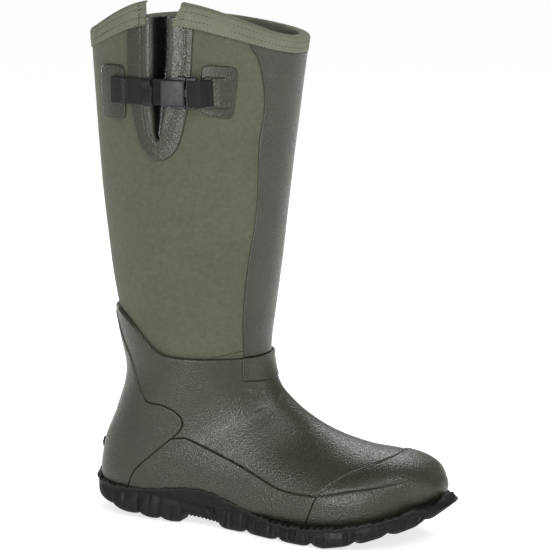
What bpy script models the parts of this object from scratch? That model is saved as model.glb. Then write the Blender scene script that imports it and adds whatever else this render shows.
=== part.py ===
"""Insulated rubber knee boot for the right foot, built from its separate pieces.

Frame: +X towards the toe, +Z up, -Y the outer side of the leg, origin on the floor under the middle of
the boot. Tables and offsets are in millimetres, x from the back of the heel and z from the floor; an
offset is measured outwards from the outer face of the insulated bootie. Objects are in metres.
"""

import math

import bmesh
import bpy
import numpy as np
from mathutils import Matrix, Vector

MM = 0.001
MID_X = 146.5  # middle of the boot's length, from the back of the heel
MID_Y = -3.7
GAP = 0.3  # clearance between touching pieces
SEGMENTS = 24  # facets round the leg and the foot
ACROSS = 120.0  # beyond either side of the boot

# Layers, as offsets from the outer face of the bootie.
LINING = (-6.3, -5.3)
BOOTIE = (-5.0, 0.0)
RUBBER = (0.3, 2.3)  # foot shell
OVERLAY = (2.6, 4.0)  # toe cap, mudguards, counter and tab, on the foot shell
SHAFT_RUBBER = (0.3, 1.6)  # shin panel, gusset overlay and patches, on the bootie
WEBBING = (2.2, 3.6)
BINDING = 1.9  # outer face of the collar binding
INSIDE = -6.6  # outer face of what lies inside the lining

# Sections of the outer face of the bootie: front or top point (x, z), back or bottom point (x, z),
# outer and inner half width, height of the widest place, squareness of the two halves, shift to the
# inner side.
SECTIONS = [
    (173, 372, -3, 372, 66, 64, 0.50, 2.0, 2.0, 0),  # 0 collar
    (167, 335, 0, 330, 64, 62, 0.50, 2.0, 2.0, 0),
    (158, 270, 5, 262, 59, 58, 0.50, 2.0, 2.0, 0),
    (151, 210, 12, 200, 54, 53, 0.50, 2.0, 2.0, 0),
    (145, 168, 21, 150, 49, 49, 0.50, 2.0, 2.0, 0),  # 4 ankle
    (142, 142, 28, 115, 45, 45, 0.50, 2.0, 2.1, 0),
    (144, 124, 19, 82, 43, 43, 0.48, 2.0, 2.2, 0),
    (150, 109, 8, 52, 41, 41, 0.46, 2.0, 2.5, 0),
    (159, 99, 10, 21, 40, 40, 0.44, 2.0, 3.2, 0),  # 8 instep and back of the heel
    (171, 89, 48, 15, 40, 39, 0.42, 2.0, 4.5, 0),
    (187, 79, 100, 15, 41, 40, 0.40, 2.0, 5.0, 1),
    (206, 71, 150, 12, 45, 43, 0.38, 2.0, 5.0, 2),
    (226, 66, 198, 10, 49, 46, 0.38, 2.0, 5.0, 3),  # 12 ball of the foot
    (245, 64, 232, 12, 47, 45, 0.40, 2.1, 4.5, 4),
    (262, 61, 256, 17, 40, 39, 0.42, 2.3, 4.0, 6),
    (275, 55, 272, 25, 29, 29, 0.44, 2.4, 3.0, 8),
    (283, 46, 282, 34, 14, 14, 0.45, 2.4, 2.4, 9),
]
TOE = len(SECTIONS) - 1
TIP_AXIS = (0.97, 0.1, -0.1)  # direction of the closed end from the middle of the last section
TIP_LENGTH = 3.0
BAND_END = 0.3  # section where the collar binding ends
BOOTIE_SEAM = 5.0  # section of the seam between the bootie's shaft and its foot
SEAM_GAP = 0.02  # gap at that seam, in sections
ROWS = [0, BAND_END, 1, 2, 3, 3.5, 4, 4.5, 5, 5.5, 6, 6.5, 7, 7.5, 8, 8.5, 9, 10, 11, 12]
ROWS += [13, 14, 15, TOE]
RIM_RISE = 10.5  # mean height of the rim above section 0 at the front and back
RIM_TILT = 1.5  # how much higher it is at the back
RIM_OUTER = 26.5  # extra height of the rim on the outer side, beside the slit
RIM_INNER = 9.5  # extra height on the inner side, and its slant up to the back
RIM_SLANT = 7.0
RIM_FADE = 2.0  # section where the rim's shape has faded out

# Slit in the outer side of the shaft.
SLIT = [(75.5, 430), (104.5, 430), (103, 372), (97, 335), (88, 310), (81, 303)]
SLIT += [(76, 310), (73.5, 335), (74, 372)]
SLIT_TOP = (75.5, 104.5, 400)  # back and front edge, and a height near the rim
SLIT_FOOT = 81  # x of the slit's lowest point

# Folded pleat in the slit: heights, thickness, and how far it sinks in at its foot and at the top.
PLEAT_Z = (404, 309)
PLEAT_WALL = 1.0
PLEAT_CLEAR = 0.5  # from the slit's edges
PLEAT_EDGE = 1.5
PLEAT_DEPTH = (1.0, 14.0)
PLEAT_DEEPEST_FROM = 363

# Outlines in the side view.
FOOT_TOP = [(0, 170), (26, 167), (36, 164), (48, 157), (60, 146), (70, 138.5), (84, 135), (200, 134)]
COUNTER = [(-20, 168), (22, 162), (31, 144), (41, 128), (47, 115), (56, 100), (63, 96), (74, 95), (85, 90)]
COUNTER += [(90, 83), (87, 75), (71, 61), (57, 49), (46, 38), (38, 22), (-20, 22)]
MUD_TOP = [(92, 70), (120, 60), (139, 53), (156, 46), (172, 40), (186, 38), (207, 38)]
MUD_BOTTOM = [(199, 15), (175, 15), (150, 18), (120, 22), (80, 22), (40, 22)]
TOE_LINE = [(199, 17), (204, 30), (208, 39), (214, 45), (221, 52), (229, 58), (243, 64), (262, 72)]
TOE_BOTTOM = [(320, 72), (320, 36), (284, 31), (268, 24), (250, 18), (225, 15)]
SHIN_LINE = [(149, 430), (150, 381), (155, 366), (157, 344), (156, 325), (152, 300), (148, 250), (141, 205)]
SHIN_LINE += [(136, 165), (135, 134.6)]
GUSSET = [(57, 420), (56, 353), (58, 332), (62, 312), (68, 297), (81, 289), (94, 295), (101, 308)]
GUSSET += [(107, 332), (110, 355), (115, 420)]
TAB = [(135, 134), (135, 117), (160, 115), (160, 134)]

# Outsole: x, outer and inner half width, underside of the lugs, top of the wall.
SOLE = [
    (-2, 13, 13, 19, 28),
    (3, 23, 23, 16, 27),
    (14, 34, 33, 11, 26),
    (32, 41, 40, 6, 25),
    (60, 42, 40, 2, 26),
    (85, 40, 38, 0, 30),
    (108, 39, 37, 0, 31),
    (125, 41, 38, 0, 27),
    (150, 46, 42, 0, 19),
    (175, 52, 47, 0, 15),
    (200, 56, 51, 0, 15),
    (225, 56, 52, 0, 18),
    (245, 52, 49, 3, 22),
    (265, 43, 44, 11, 27),
    (280, 31, 36, 18, 33),
    (291, 16, 26, 24, 37),
    (298, 2, 14, 30, 38),
]
LUG = 5.0  # underside of the plate above the floor, where the lugs reach the floor
LUG_LEAST = 1.5  # height of the lugs under the plate where the sole turns up
PLATE = 7.4  # top of the outsole's floor above the floor
LUG_PROUD = 2.5  # how far a lug stands out of the wall
LUG_DEPTH = 8.0  # how far a lug reaches in from the wall
LUG_LENGTH = 17
LUG_TALL = 11
SIDE_LUGS = (12, 34.5, 55.5, 76, 118, 138, 158, 178, 198, 218, 238)
MIDDLE_LUGS = (26, 54, 164, 188, 212, 236)
MIDDLE_LUG = (15, 26)  # length and width
# Lugs round the toe: x, y, turn, length, depth, underside, top.
TOE_LUGS = [(268, -26, -0.8, 16, 20, 12, 22), (268, 30, 0.7, 16, 20, 12, 22), (289, 6, 0, 16, 26, 22, 31)]
MIDSOLE = (40, 148)  # ends of the filler in the sole
MIDSOLE_INSET = 10  # from the wall's outer face
MIDSOLE_TALL = 12
SHANK_AT = (100, 0, 9.2)
SHANK = (63.4, 17.4, 1.3)  # length, width, thickness
KICK_LUG = ((0.6, -13, 45), (17, 13, 55))

# Pieces on the floor inside, as heights above the lining.
BOARD = (-4.0, 2.2)
FOOTBED = (2.5, 6.5)

# Strap and buckle, across the slit.
STRAP_Z = 342.0
STRAP_HALF = 10.0
REAR_STRAP = (41, 87.4)
FRONT_STRAP = (117.4, 128.0)
FRONT_RISE = (1.2, 0.5, 0.1, 0, 0)  # lift of the front strap off the boot, from the buckle on
TAIL = (69, 78)  # end of the strap, folded over
TAIL_DROP = 3
BUCKLE_X = 98.0
BUCKLE_LIFT = 2.4  # underside of the buckle above the bootie

# Buckle, in its own frame: along the strap to the front, across it upwards, outwards.
HOUSING = ((-10, -10, 0), (9, 10, 7))
HOUSING_CAVITY = ((-3.5, -12, 2.0), (12, 12, 5.2))
HOUSING_SLOT = ((-8.4, -8.6, -2), (-6.0, 8.6, 9))
BASE = ((9.4, -12, 1.0), (18, 12, 4.8))
BASE_SLOT = ((12.6, -9.6, -2), (15.2, 9.6, 9))
BASE_TONGUE = ((-1, -3.0, 2.4), (9.6, 3.0, 4.8))
PRONG = [(9.1, 8.6), (9.1, 11.6), (4, 12.4), (-1.5, 11.2), (-2.5, 9.6), (-1, 8.8)]
PRONG_OUT = (2.4, 4.8)
PRONG_ROOT = (9.1, 10.1, 3.6)  # where the upper prong bends

# Patches under the ends of the strap: corners in the side view.
PATCH_R = 5.0
REAR_PATCH = [(25, 360), (52, 361), (52, 319), (25, 318)]
FRONT_PATCH = [(118, 363), (143, 361), (138, 321), (115, 326)]
FRONT_PATCH_X = (113, 119, 125, 128.6, 130, 137, 139, 146)
FRONT_PATCH_Z = (319, 325, 331, 332.5, 342, 351.5, 353, 359, 364)
HUMP = 2.0  # where the patch covers the end of the webbing


def clear_scene():
    for obj in list(bpy.data.objects):
        bpy.data.objects.remove(obj, do_unlink=True)


def new_collection(name, helper=False):
    collection = bpy.data.collections.new(name)
    collection.hide_render = helper
    bpy.context.scene.collection.children.link(collection)
    return collection


def material(name, colour, roughness, metallic=0.0):
    mat = bpy.data.materials.new(name)
    mat.use_nodes = True
    shader = mat.node_tree.nodes["Principled BSDF"]
    shader.inputs["Base Color"].default_value = (*colour, 1.0)
    shader.inputs["Roughness"].default_value = roughness
    shader.inputs["Metallic"].default_value = metallic
    return mat


def spline(rows, t):
    """Catmull-Rom curve through the rows, at row number t."""
    t = np.clip(np.asarray(t, float), 0, len(rows) - 1 - 1e-9)
    low = np.floor(t).astype(int)
    u = (t - low)[..., None]
    p1, p2 = rows[low], rows[low + 1]
    p0 = np.where((low > 0)[..., None], rows[np.maximum(low - 1, 0)], 2 * p1 - p2)
    last = len(rows) - 1
    p3 = np.where((low + 2 <= last)[..., None], rows[np.minimum(low + 2, last)], 2 * p2 - p1)
    cubic = (-p0 + 3 * p1 - 3 * p2 + p3) * u**3
    return 0.5 * (2 * p1 + (p2 - p0) * u + (2 * p0 - 5 * p1 + 4 * p2 - p3) * u * u + cubic)


SECTION_TABLE = np.array(SECTIONS, float)


def skin(t, phi):
    """Points of the bootie's outer face in mm; phi 0 is the front or top, pi/2 the outer side."""
    t, phi = np.broadcast_arrays(np.asarray(t, float), np.asarray(phi, float))
    q = spline(SECTION_TABLE, t)
    top_x, top_z, low_x, low_z, outer, inner, level, sq_top, sq_low, shift = np.moveaxis(q, -1, 0)
    c, s = np.cos(phi), np.sin(phi)
    square = np.where(c > 0, sq_top, sq_low)
    radius = (np.abs(c) ** square + np.abs(s) ** square) ** (-1 / square)
    along = level + np.where(c > 0, 1 - level, level) * c * radius
    width = np.where(s > 0, outer, inner)
    x = low_x + (top_x - low_x) * along
    y = shift - width * s * radius
    z = low_z + (top_z - low_z) * along
    z = z + rim(c, s) * np.clip(1 - t / RIM_FADE, 0, 1) ** 1.2
    return np.stack([x, y, z], axis=-1)


def rim(c, s):
    """Height of the rim above section 0, by the cosine and sine of the angle."""
    outer = RIM_OUTER * np.abs(s) ** np.where(c > 0, 2.2, 4.2)
    inner = (RIM_INNER - RIM_SLANT * c) * np.abs(s) ** np.where(c > 0, 1.0, 1.3)
    return RIM_RISE - RIM_TILT * c + np.where(s > 0, outer, inner)


def skin_normal(t, phi):
    step = 0.01
    along = skin(np.minimum(t + step, TOE), phi) - skin(np.maximum(t - step, 0), phi)
    around = skin(t, phi + step) - skin(t, phi - step)
    normal = np.cross(around, along)
    return normal / np.linalg.norm(normal, axis=-1, keepdims=True)


def to_frame(points):
    return (np.asarray(points, float) - [MID_X, MID_Y, 0]) * MM


def on_side(x, z):
    """Section and angle of the outer side's point at x and z."""
    t_grid, phi_grid = np.meshgrid(np.linspace(0, 4, 161), np.linspace(0.3, 2.9, 105), indexing="ij")
    near = skin(t_grid, phi_grid)
    best = np.argmin((near[..., 0] - x) ** 2 + (near[..., 2] - z) ** 2)
    t, phi = t_grid.flat[best], phi_grid.flat[best]
    for _ in range(6):
        miss = np.array([x, z]) - skin(t, phi)[[0, 2]]
        d_t = (skin(t + 0.01, phi) - skin(t, phi))[[0, 2]] / 0.01
        d_phi = (skin(t, phi + 0.01) - skin(t, phi))[[0, 2]] / 0.01
        step = np.linalg.solve(np.stack([d_t, d_phi], axis=1), miss)
        t, phi = max(t + step[0], 0.0), phi + step[1]
    return t, phi


def side_point(x, z, offset):
    t, phi = on_side(x, z)
    return skin(t, phi) + skin_normal(t, phi) * offset


def mesh_object(name, verts, faces, collection, mat=None):
    bm = bmesh.new()
    corners = [bm.verts.new(v) for v in verts]
    for face in faces:
        bm.faces.new([corners[k] for k in face])
    bmesh.ops.recalc_face_normals(bm, faces=bm.faces)
    return object_from(name, bm, collection, mat)


def object_from(name, bm, collection, mat=None):
    """Object that holds the finished bmesh."""
    mesh = bpy.data.meshes.new(name)
    bm.to_mesh(mesh)
    bm.free()
    if mat:
        mesh.materials.append(mat)
    obj = bpy.data.objects.new(name, mesh)
    collection.objects.link(obj)
    return obj


def helper(obj):
    obj.hide_render = True
    obj.display_type = "WIRE"
    return obj


def quad(a, b, c, d):
    return [(a, b, c), (a, c, d)]


def slab(name, outer, inner, collection, mat, ring=False, toe=None):
    """Closed solid between two grids of points: rows by columns, closed round when ring is set."""
    rows, cols = outer.shape[:2]
    count = rows * cols
    verts = np.concatenate([outer.reshape(-1, 3), inner.reshape(-1, 3)])
    faces = []
    turn = cols if ring else cols - 1
    for i in range(rows - 1):
        for j in range(turn):
            k = (j + 1) % cols
            a, b, c, d = i * cols + j, (i + 1) * cols + j, (i + 1) * cols + k, i * cols + k
            faces += quad(a, b, c, d)
            faces += [(count + a, count + c, count + b), (count + a, count + d, count + c)]
    for j in range(turn):
        k = (j + 1) % cols
        faces += quad(j, k, count + k, count + j)
        last = (rows - 1) * cols
        if toe is None:
            faces += quad(last + k, last + j, count + last + j, count + last + k)
        else:
            faces += [(last + k, last + j, 2 * count), (count + last + j, count + last + k, 2 * count + 1)]
    if toe is not None:
        verts = np.concatenate([verts, toe])
    if not ring:
        for i in range(rows - 1):
            for j, flip in ((0, False), (cols - 1, True)):
                a, b = i * cols + j, (i + 1) * cols + j
                faces += quad(a, count + a, count + b, b) if flip else quad(a, b, count + b, count + a)
    return mesh_object(name, to_frame(verts), faces, collection, mat)


def skin_grid(rows, columns, offset):
    t, phi = np.meshgrid(np.array(rows, float), columns, indexing="ij")
    return skin(t, phi) + skin_normal(t, phi) * offset


def around():
    return np.arange(SEGMENTS) * 2 * math.pi / SEGMENTS


def toe_tip(offset):
    """Middle of the closed end at the toe."""
    ring = skin_grid([TOE], around(), 0.0)[0]
    return ring.mean(axis=0) + np.array(TIP_AXIS) * (offset + TIP_LENGTH)


def shell(name, layer, rows, collection, mat=None):
    """Layer of the boot between two offsets, a tube along the rows that closes at the toe."""
    inner, outer = layer
    toe = np.array([toe_tip(outer), toe_tip(inner)]) if rows[-1] == TOE else None
    grids = [skin_grid(rows, around(), offset) for offset in (outer, inner)]
    return slab(name, *grids, collection, mat, ring=True, toe=toe)


def rows_between(first, last):
    return [t for t in ROWS if first <= t <= last]


def solid_skin(name, offset, rows, collection):
    """Everything inside an offset of the boot's skin, as a cutter."""
    grid = skin_grid(rows, around(), offset)
    count = len(rows) * SEGMENTS
    verts = np.concatenate([grid.reshape(-1, 3), [grid[0].mean(axis=0), toe_tip(offset)]])
    faces = []
    for i in range(len(rows) - 1):
        for j in range(SEGMENTS):
            k = (j + 1) % SEGMENTS
            base = i * SEGMENTS
            faces += quad(base + j, base + SEGMENTS + j, base + SEGMENTS + k, base + k)
    last = (len(rows) - 1) * SEGMENTS
    for j in range(SEGMENTS):
        k = (j + 1) % SEGMENTS
        faces += [(k, j, count), (last + j, last + k, count + 1)]
    return helper(mesh_object(name, to_frame(verts), faces, collection))


def prism(name, outline, y_low, y_high, collection, mat=None):
    """Side-view outline carried across from one y to the other."""
    bm = bmesh.new()
    start = to_frame([(x, y_low, z) for x, z in outline])
    face = bm.faces.new([bm.verts.new(p) for p in start])
    moved = bmesh.ops.extrude_face_region(bm, geom=[face])["geom"]
    verts = [v for v in moved if isinstance(v, bmesh.types.BMVert)]
    bmesh.ops.translate(bm, verts=verts, vec=(0, (y_high - y_low) * MM, 0))
    bmesh.ops.recalc_face_normals(bm, faces=bm.faces)
    return object_from(name, bm, collection, mat)


def boolean(obj, operation, other):
    mod = obj.modifiers.new(operation.title(), "BOOLEAN")
    mod.operation = operation
    mod.object = other
    mod.solver = "EXACT"
    return obj


def box(name, low, high, matrix, collection, mat=None):
    """Box between two corners in mm, placed by a matrix in metres."""
    low, high = Vector(low) * MM, Vector(high) * MM
    bm = bmesh.new()
    size = Matrix.Diagonal((*(high - low), 1))
    bmesh.ops.create_cube(bm, size=1, matrix=Matrix.Translation((low + high) / 2) @ size)
    obj = object_from(name, bm, collection, mat)
    obj.matrix_world = matrix
    return obj


def make_bootie(parts, cutters, mats):
    slit = helper(prism("slit_cutter", SLIT, -ACROSS, 0, cutters))
    shaft_rows = rows_between(0, BOOTIE_SEAM)
    foot_rows = [BOOTIE_SEAM + SEAM_GAP] + rows_between(BOOTIE_SEAM + SEAM_GAP, TOE)
    shaft = shell("neoprene_shaft", BOOTIE, shaft_rows, parts, mats["neoprene"])
    boolean(shaft, "DIFFERENCE", slit)
    shell("neoprene_foot", BOOTIE, foot_rows, parts, mats["neoprene"])
    lining = shell("lining_sock", LINING, ROWS, parts, mats["lining"])
    boolean(lining, "DIFFERENCE", slit)


def make_insoles(parts, cutters, mats):
    """Lasting board and footbed, cut to the inside of the boot along the line of its floor."""
    inside = solid_skin("inside_cutter", INSIDE, rows_between(4, TOE), cutters)
    line = [spline(SECTION_TABLE, t)[2:4] for t in np.linspace(9, 14, 9)]
    floor = [(0.0, line[0][1])] + [tuple(p) for p in line]

    def between(low, high):
        top = [(x, z - INSIDE + high) for x, z in floor]
        bottom = [(x, z - INSIDE + low) for x, z in floor]
        return bottom + top[::-1]

    for name, span, key in (("lasting_board", BOARD, "board"), ("footbed", FOOTBED, "foam")):
        piece = prism(name, between(*span), -ACROSS, ACROSS, parts, mats[key])
        boolean(piece, "INTERSECT", inside)


def make_foot_rubber(parts, cutters, mats):
    """Foot shell and the pieces laid over it."""

    def overlay(name, layer, first, last, outline, side=(-ACROSS, ACROSS), key="rubber"):
        piece = shell(name, layer, rows_between(first, last), parts, mats[key])
        return boolean(piece, "INTERSECT", helper(prism(name + "_outline", outline, *side, cutters)))

    foot = FOOT_TOP + [(340, 134), (340, -20), (-40, -20), (-40, 170)]
    overlay("foot_shell", RUBBER, 3, TOE, foot)
    overlay("heel_counter", OVERLAY, 3.5, 9, COUNTER)
    toe = TOE_LINE + TOE_BOTTOM
    overlay("toe_cap", OVERLAY, 10, TOE, toe)
    front = [(x - 0.6, z) for x, z in TOE_LINE if z < 38]
    back = [(x + 0.8, z) for x, z in COUNTER if x > 0 and z < 69]
    guard = MUD_TOP[:-1] + front[::-1] + MUD_BOTTOM[1:] + back[::-1]
    overlay("outer_mudguard", OVERLAY, 6, 13, guard, side=(-ACROSS, -15))
    overlay("inner_mudguard", OVERLAY, 6, 13, guard, side=(15, ACROSS))
    overlay("shin_guard_tab", OVERLAY, 4.5, 7.5, TAB)
    shin = SHIN_LINE + [(220, 134.6), (220, 430)]
    overlay("shin_panel", SHAFT_RUBBER, BAND_END, 6, shin)


def make_gusset(parts, cutters, mats):
    """U of rubber round the slit, and the folded bellows in it."""
    cover = shell("gusset_overlay", SHAFT_RUBBER, rows_between(BAND_END, 3), parts, mats["rubber"])
    boolean(cover, "INTERSECT", helper(prism("gusset_outline", GUSSET, -ACROSS, 0, cutters)))
    boolean(cover, "DIFFERENCE", bpy.data.objects["slit_cutter"])
    heights = np.linspace(*PLEAT_Z, 11)
    across = np.linspace(-1, 1, 9)
    edges = [sorted((z, x) for x, z in SLIT if side * (x - SLIT_FOOT) >= 0) for side in (-1, 1)]
    lowest = min(z for _, z in SLIT)
    grid = np.zeros((len(heights), len(across), 3))
    for i, z in enumerate(heights):
        low, high = (np.interp(z, *zip(*edge)) for edge in edges)
        middle, half = (low + high) / 2, (high - low) / 2 - PLEAT_CLEAR
        depth = np.interp(z, (lowest, PLEAT_DEEPEST_FROM), PLEAT_DEPTH)
        for j, s in enumerate(across):
            sink = PLEAT_EDGE + depth * (1 - abs(s)) ** 0.9
            grid[i, j] = side_point(middle + s * half, z, -sink)
    slab("gusset_pleat", grid, grid + np.array([0, PLEAT_WALL, 0]), parts, mats["rubber"])


def make_binding(parts, mats):
    """Binding folded over the rim, from one edge of the slit round to the other."""
    back, front, height = SLIT_TOP
    first = on_side(front, height)[1]
    last = on_side(back, height)[1] - 2 * math.pi
    step = 2 * math.pi / SEGMENTS
    between = [k * step for k in range(SEGMENTS, -SEGMENTS, -1) if last < k * step < first]
    columns = np.array([first] + between + [last])

    def ring(t, offset, lift):
        base = skin_grid([t], np.arange(-SEGMENTS, SEGMENTS + 1) * step, offset)[0]
        at = columns / step + SEGMENTS
        low = np.clip(np.floor(at + 1e-9).astype(int), 0, 2 * SEGMENTS - 1)
        mix = (at - low)[:, None]
        points = base[low] * (1 - mix) + base[low + 1] * mix
        return points + np.array([0, 0, lift])

    def fold(outside, inside, lift):
        end = BAND_END - 0.01
        places = ((end, outside, 0), (0, outside, lift), (0, inside, lift), (end, inside, 0))
        return np.array([ring(*place) for place in places])

    outer = fold(BINDING, LINING[0] - BINDING + GAP, BINDING - GAP)
    inner = fold(GAP, LINING[0] - GAP, GAP)
    slab("collar_binding", outer, inner, parts, mats["binding"])


def side_slab(name, xs, zs, low, high, parts, mat):
    """Piece lying on the outer side, between two offsets, over a grid of x and z."""
    shape = (len(zs), len(xs))
    where = [[on_side(x, z) for x in xs] for z in zs]
    t = np.array([[w[0] for w in row] for row in where])
    phi = np.array([[w[1] for w in row] for row in where])
    points, normals = skin(t, phi), skin_normal(t, phi)
    low = np.broadcast_to(low, shape)[..., None]
    high = np.broadcast_to(high, shape)[..., None]
    return slab(name, points + normals * high, points + normals * low, parts, mat)


def corner_prism(name, outline, radius, cutters):
    """Cutter with the corners of a side-view outline rounded off."""
    points = []
    count = len(outline)
    for i in range(count):
        corner = Vector(outline[i])
        before = (Vector(outline[i - 1]) - corner).normalized()
        after = (Vector(outline[(i + 1) % count]) - corner).normalized()
        for k in range(5):
            u = k / 4
            start, end = corner + before * radius, corner + after * radius
            points.append(start * (1 - u) ** 2 + corner * 2 * u * (1 - u) + end * u * u)
    return helper(prism(name, [tuple(p) for p in points], -ACROSS, 0, cutters))


def make_patches(parts, cutters, mats):
    low, high = SHAFT_RUBBER
    x_low, z_low = np.min(REAR_PATCH, axis=0) - 2
    x_high, z_high = np.max(REAR_PATCH, axis=0) + 2
    xs, zs = np.linspace(x_low, x_high, 7), np.linspace(z_low, z_high, 5)
    rear = side_slab("rear_strap_patch", xs, zs, low, high, parts, mats["rubber"])
    boolean(rear, "INTERSECT", corner_prism("rear_patch_outline", REAR_PATCH, PATCH_R, cutters))
    hump = np.zeros((len(FRONT_PATCH_Z), len(FRONT_PATCH_X)))
    hump[3:6, 4:6] = HUMP
    grid = (FRONT_PATCH_X, FRONT_PATCH_Z)
    front = side_slab("front_strap_patch", *grid, low, high + hump, parts, mats["rubber"])
    boolean(front, "INTERSECT", corner_prism("front_patch_outline", FRONT_PATCH, PATCH_R, cutters))


def buckle_matrix():
    """Frame of the buckle in metres: x along the strap to the front, y across it upwards, z outwards."""
    t, phi = on_side(BUCKLE_X, STRAP_Z)
    out = Vector(skin_normal(t, phi))
    out.z = 0.0
    out.normalize()
    up = Vector((0, 0, 1))
    along = up.cross(out)
    place = Matrix.Translation(to_frame(side_point(BUCKLE_X, STRAP_Z, BUCKLE_LIFT)))
    return place @ Matrix((along, up, out)).transposed().to_4x4()


def make_strap(parts, mats):
    low, high = WEBBING
    zs = np.linspace(STRAP_Z - STRAP_HALF, STRAP_Z + STRAP_HALF, 3)
    side_slab("rear_strap", np.linspace(*REAR_STRAP, 8), zs, low, high, parts, mats["webbing"])
    tail_low, tail_high = high + GAP, 2 * high + GAP - low
    tail_z = zs[1:] - TAIL_DROP
    side_slab("strap_tail", np.linspace(*TAIL, 3), tail_z, tail_low, tail_high, parts, mats["webbing"])
    xs, rise = np.linspace(*FRONT_STRAP, len(FRONT_RISE)), np.array(FRONT_RISE)
    side_slab("front_strap", xs, zs, low + rise, high + rise, parts, mats["webbing"])


def make_buckle(parts, cutters, mats):
    """Side-release buckle: housing, male base, and two prongs that bend inwards."""
    place = buckle_matrix()
    plastic = mats["buckle"]

    def shaped(name, corners, *cuts):
        piece = box(name, *corners, place, parts, plastic)
        for number, cut in enumerate(cuts):
            cutter = helper(box(f"{name}_cut_{number}", *cut, place, cutters))
            boolean(piece, "DIFFERENCE", cutter)
        return piece

    shaped("buckle_housing", HOUSING, HOUSING_CAVITY, HOUSING_SLOT)
    base = shaped("buckle_base", BASE, BASE_SLOT)
    tongue = helper(box("base_tongue", *BASE_TONGUE, place, cutters))
    boolean(base, "UNION", tongue)
    for name, side in (("prong_upper", 1), ("prong_lower", -1)):
        make_prong(name, side, place, parts, plastic)


def make_prong(name, side, place, parts, plastic):
    """Prong above or below the tongue, with its origin where it bends."""
    root = Vector((PRONG_ROOT[0], side * PRONG_ROOT[1], PRONG_ROOT[2])) * MM
    low, high = PRONG_OUT
    bm = bmesh.new()
    corners = [Vector((x, side * y, low)) * MM - root for x, y in PRONG]
    face = bm.faces.new([bm.verts.new(corner) for corner in corners])
    moved = bmesh.ops.extrude_face_region(bm, geom=[face])["geom"]
    top = [v for v in moved if isinstance(v, bmesh.types.BMVert)]
    bmesh.ops.translate(bm, verts=top, vec=(0, 0, (high - low) * MM))
    bmesh.ops.recalc_face_normals(bm, faces=bm.faces)
    prong = object_from(name, bm, parts, plastic)
    prong.matrix_world = place @ Matrix.Translation(root)


def sole_rows():
    return spline(np.array(SOLE, float), np.linspace(0, len(SOLE) - 1, 2 * len(SOLE) - 1))


def sole_block(name, rows, low, high, collection, mat=None):
    """Block across the sole: rows of x, outer and inner half width, between two heights per row."""
    count = len(rows)
    verts = []
    for (x, outer, inner), z0, z1 in zip(rows[:, :3], low, high):
        verts += [(x, -outer, z0), (x, inner, z0), (x, inner, z1), (x, -outer, z1)]
    faces = [(0, 1, 2, 3), tuple(4 * (count - 1) + k for k in (3, 2, 1, 0))]
    for i in range(count - 1):
        for k in range(4):
            m = (k + 1) % 4
            faces.append((4 * i + k, 4 * i + m, 4 * i + 4 + m, 4 * i + 4 + k))
    return mesh_object(name, to_frame(verts), faces, collection, mat)


def make_sole(parts, cutters, mats):
    foot = solid_skin("sole_cutter", OVERLAY[1] + GAP, rows_between(4, TOE), cutters)
    foot_close = solid_skin("midsole_cutter", RUBBER[1] + GAP, rows_between(4, TOE), cutters)
    rows = sole_rows()
    underside = np.maximum(rows[:, 3] + LUG_LEAST, LUG)
    outsole = sole_block("outsole", rows, underside, rows[:, 4], parts, mats["sole"])
    lugs = make_lugs(cutters)
    boolean(outsole, "UNION", lugs)
    boolean(outsole, "DIFFERENCE", foot)

    filler = rows[(rows[:, 0] > MIDSOLE[0]) & (rows[:, 0] < MIDSOLE[1])].copy()
    filler[:, 1:3] -= MIDSOLE_INSET
    low = np.full(len(filler), PLATE + GAP)
    high = low + MIDSOLE_TALL
    midsole = sole_block("midsole", filler, low, high, parts, mats["foam"])
    pocket = filler.copy()
    pocket[:, 1:3] += GAP
    pocket[0, 0] -= GAP
    pocket[-1, 0] += GAP
    well = helper(sole_block("midsole_well", pocket, low - GAP, high, cutters))
    boolean(outsole, "DIFFERENCE", well)
    boolean(midsole, "DIFFERENCE", foot_close)
    at = Matrix.Translation(Vector(to_frame(SHANK_AT)))
    length, width, thick = SHANK
    corner = (length / 2 + GAP, width / 2 + GAP)
    recess = box("shank_recess", (-corner[0], -corner[1], 0), (*corner, MIDSOLE_TALL), at, cutters)
    boolean(midsole, "DIFFERENCE", helper(recess))
    low_corner, high_corner = (-length / 2, -width / 2, GAP), (length / 2, width / 2, GAP + thick)
    box("shank", low_corner, high_corner, at, parts, mats["steel"])

    heel = Matrix.Translation(Vector(to_frame((0, 0, 0))))
    nub = box("kick_lug", *KICK_LUG, heel, parts, mats["sole"])
    boolean(nub, "DIFFERENCE", foot)


def make_lugs(cutters):
    """Blocks under the plate and round its wall, as one cutter of separate boxes."""
    table = np.array(SOLE, float)
    bm = bmesh.new()

    def at(x, column):
        return np.interp(x, table[:, 0], table[:, column])

    def block(x, y, turn, length, depth, low, high):
        turned = Matrix.Rotation(turn, 4, "Z")
        centre = Vector(to_frame((x, y, (low + high) / 2)))
        size = Matrix.Diagonal((length * MM, depth * MM, (high - low) * MM, 1))
        bmesh.ops.create_cube(bm, size=1, matrix=Matrix.Translation(centre) @ turned @ size)

    half_length = LUG_LENGTH / 2
    for x in SIDE_LUGS:
        for sign, column in ((-1, 1), (1, 2)):
            rise = at(x + half_length, column) - at(x - half_length, column)
            turn = sign * math.atan2(rise, LUG_LENGTH)
            y = sign * (at(x, column) - LUG_DEPTH)
            block(x, y, turn, LUG_LENGTH, 2 * (LUG_DEPTH + LUG_PROUD), at(x, 3), at(x, 3) + LUG_TALL)
    for x in MIDDLE_LUGS:
        block(x, 0, 0, *MIDDLE_LUG, at(x, 3), at(x, 3) + LUG + 1)
    for lug in TOE_LUGS:
        block(*lug)
    return helper(object_from("lugs", bm, cutters))


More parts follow.
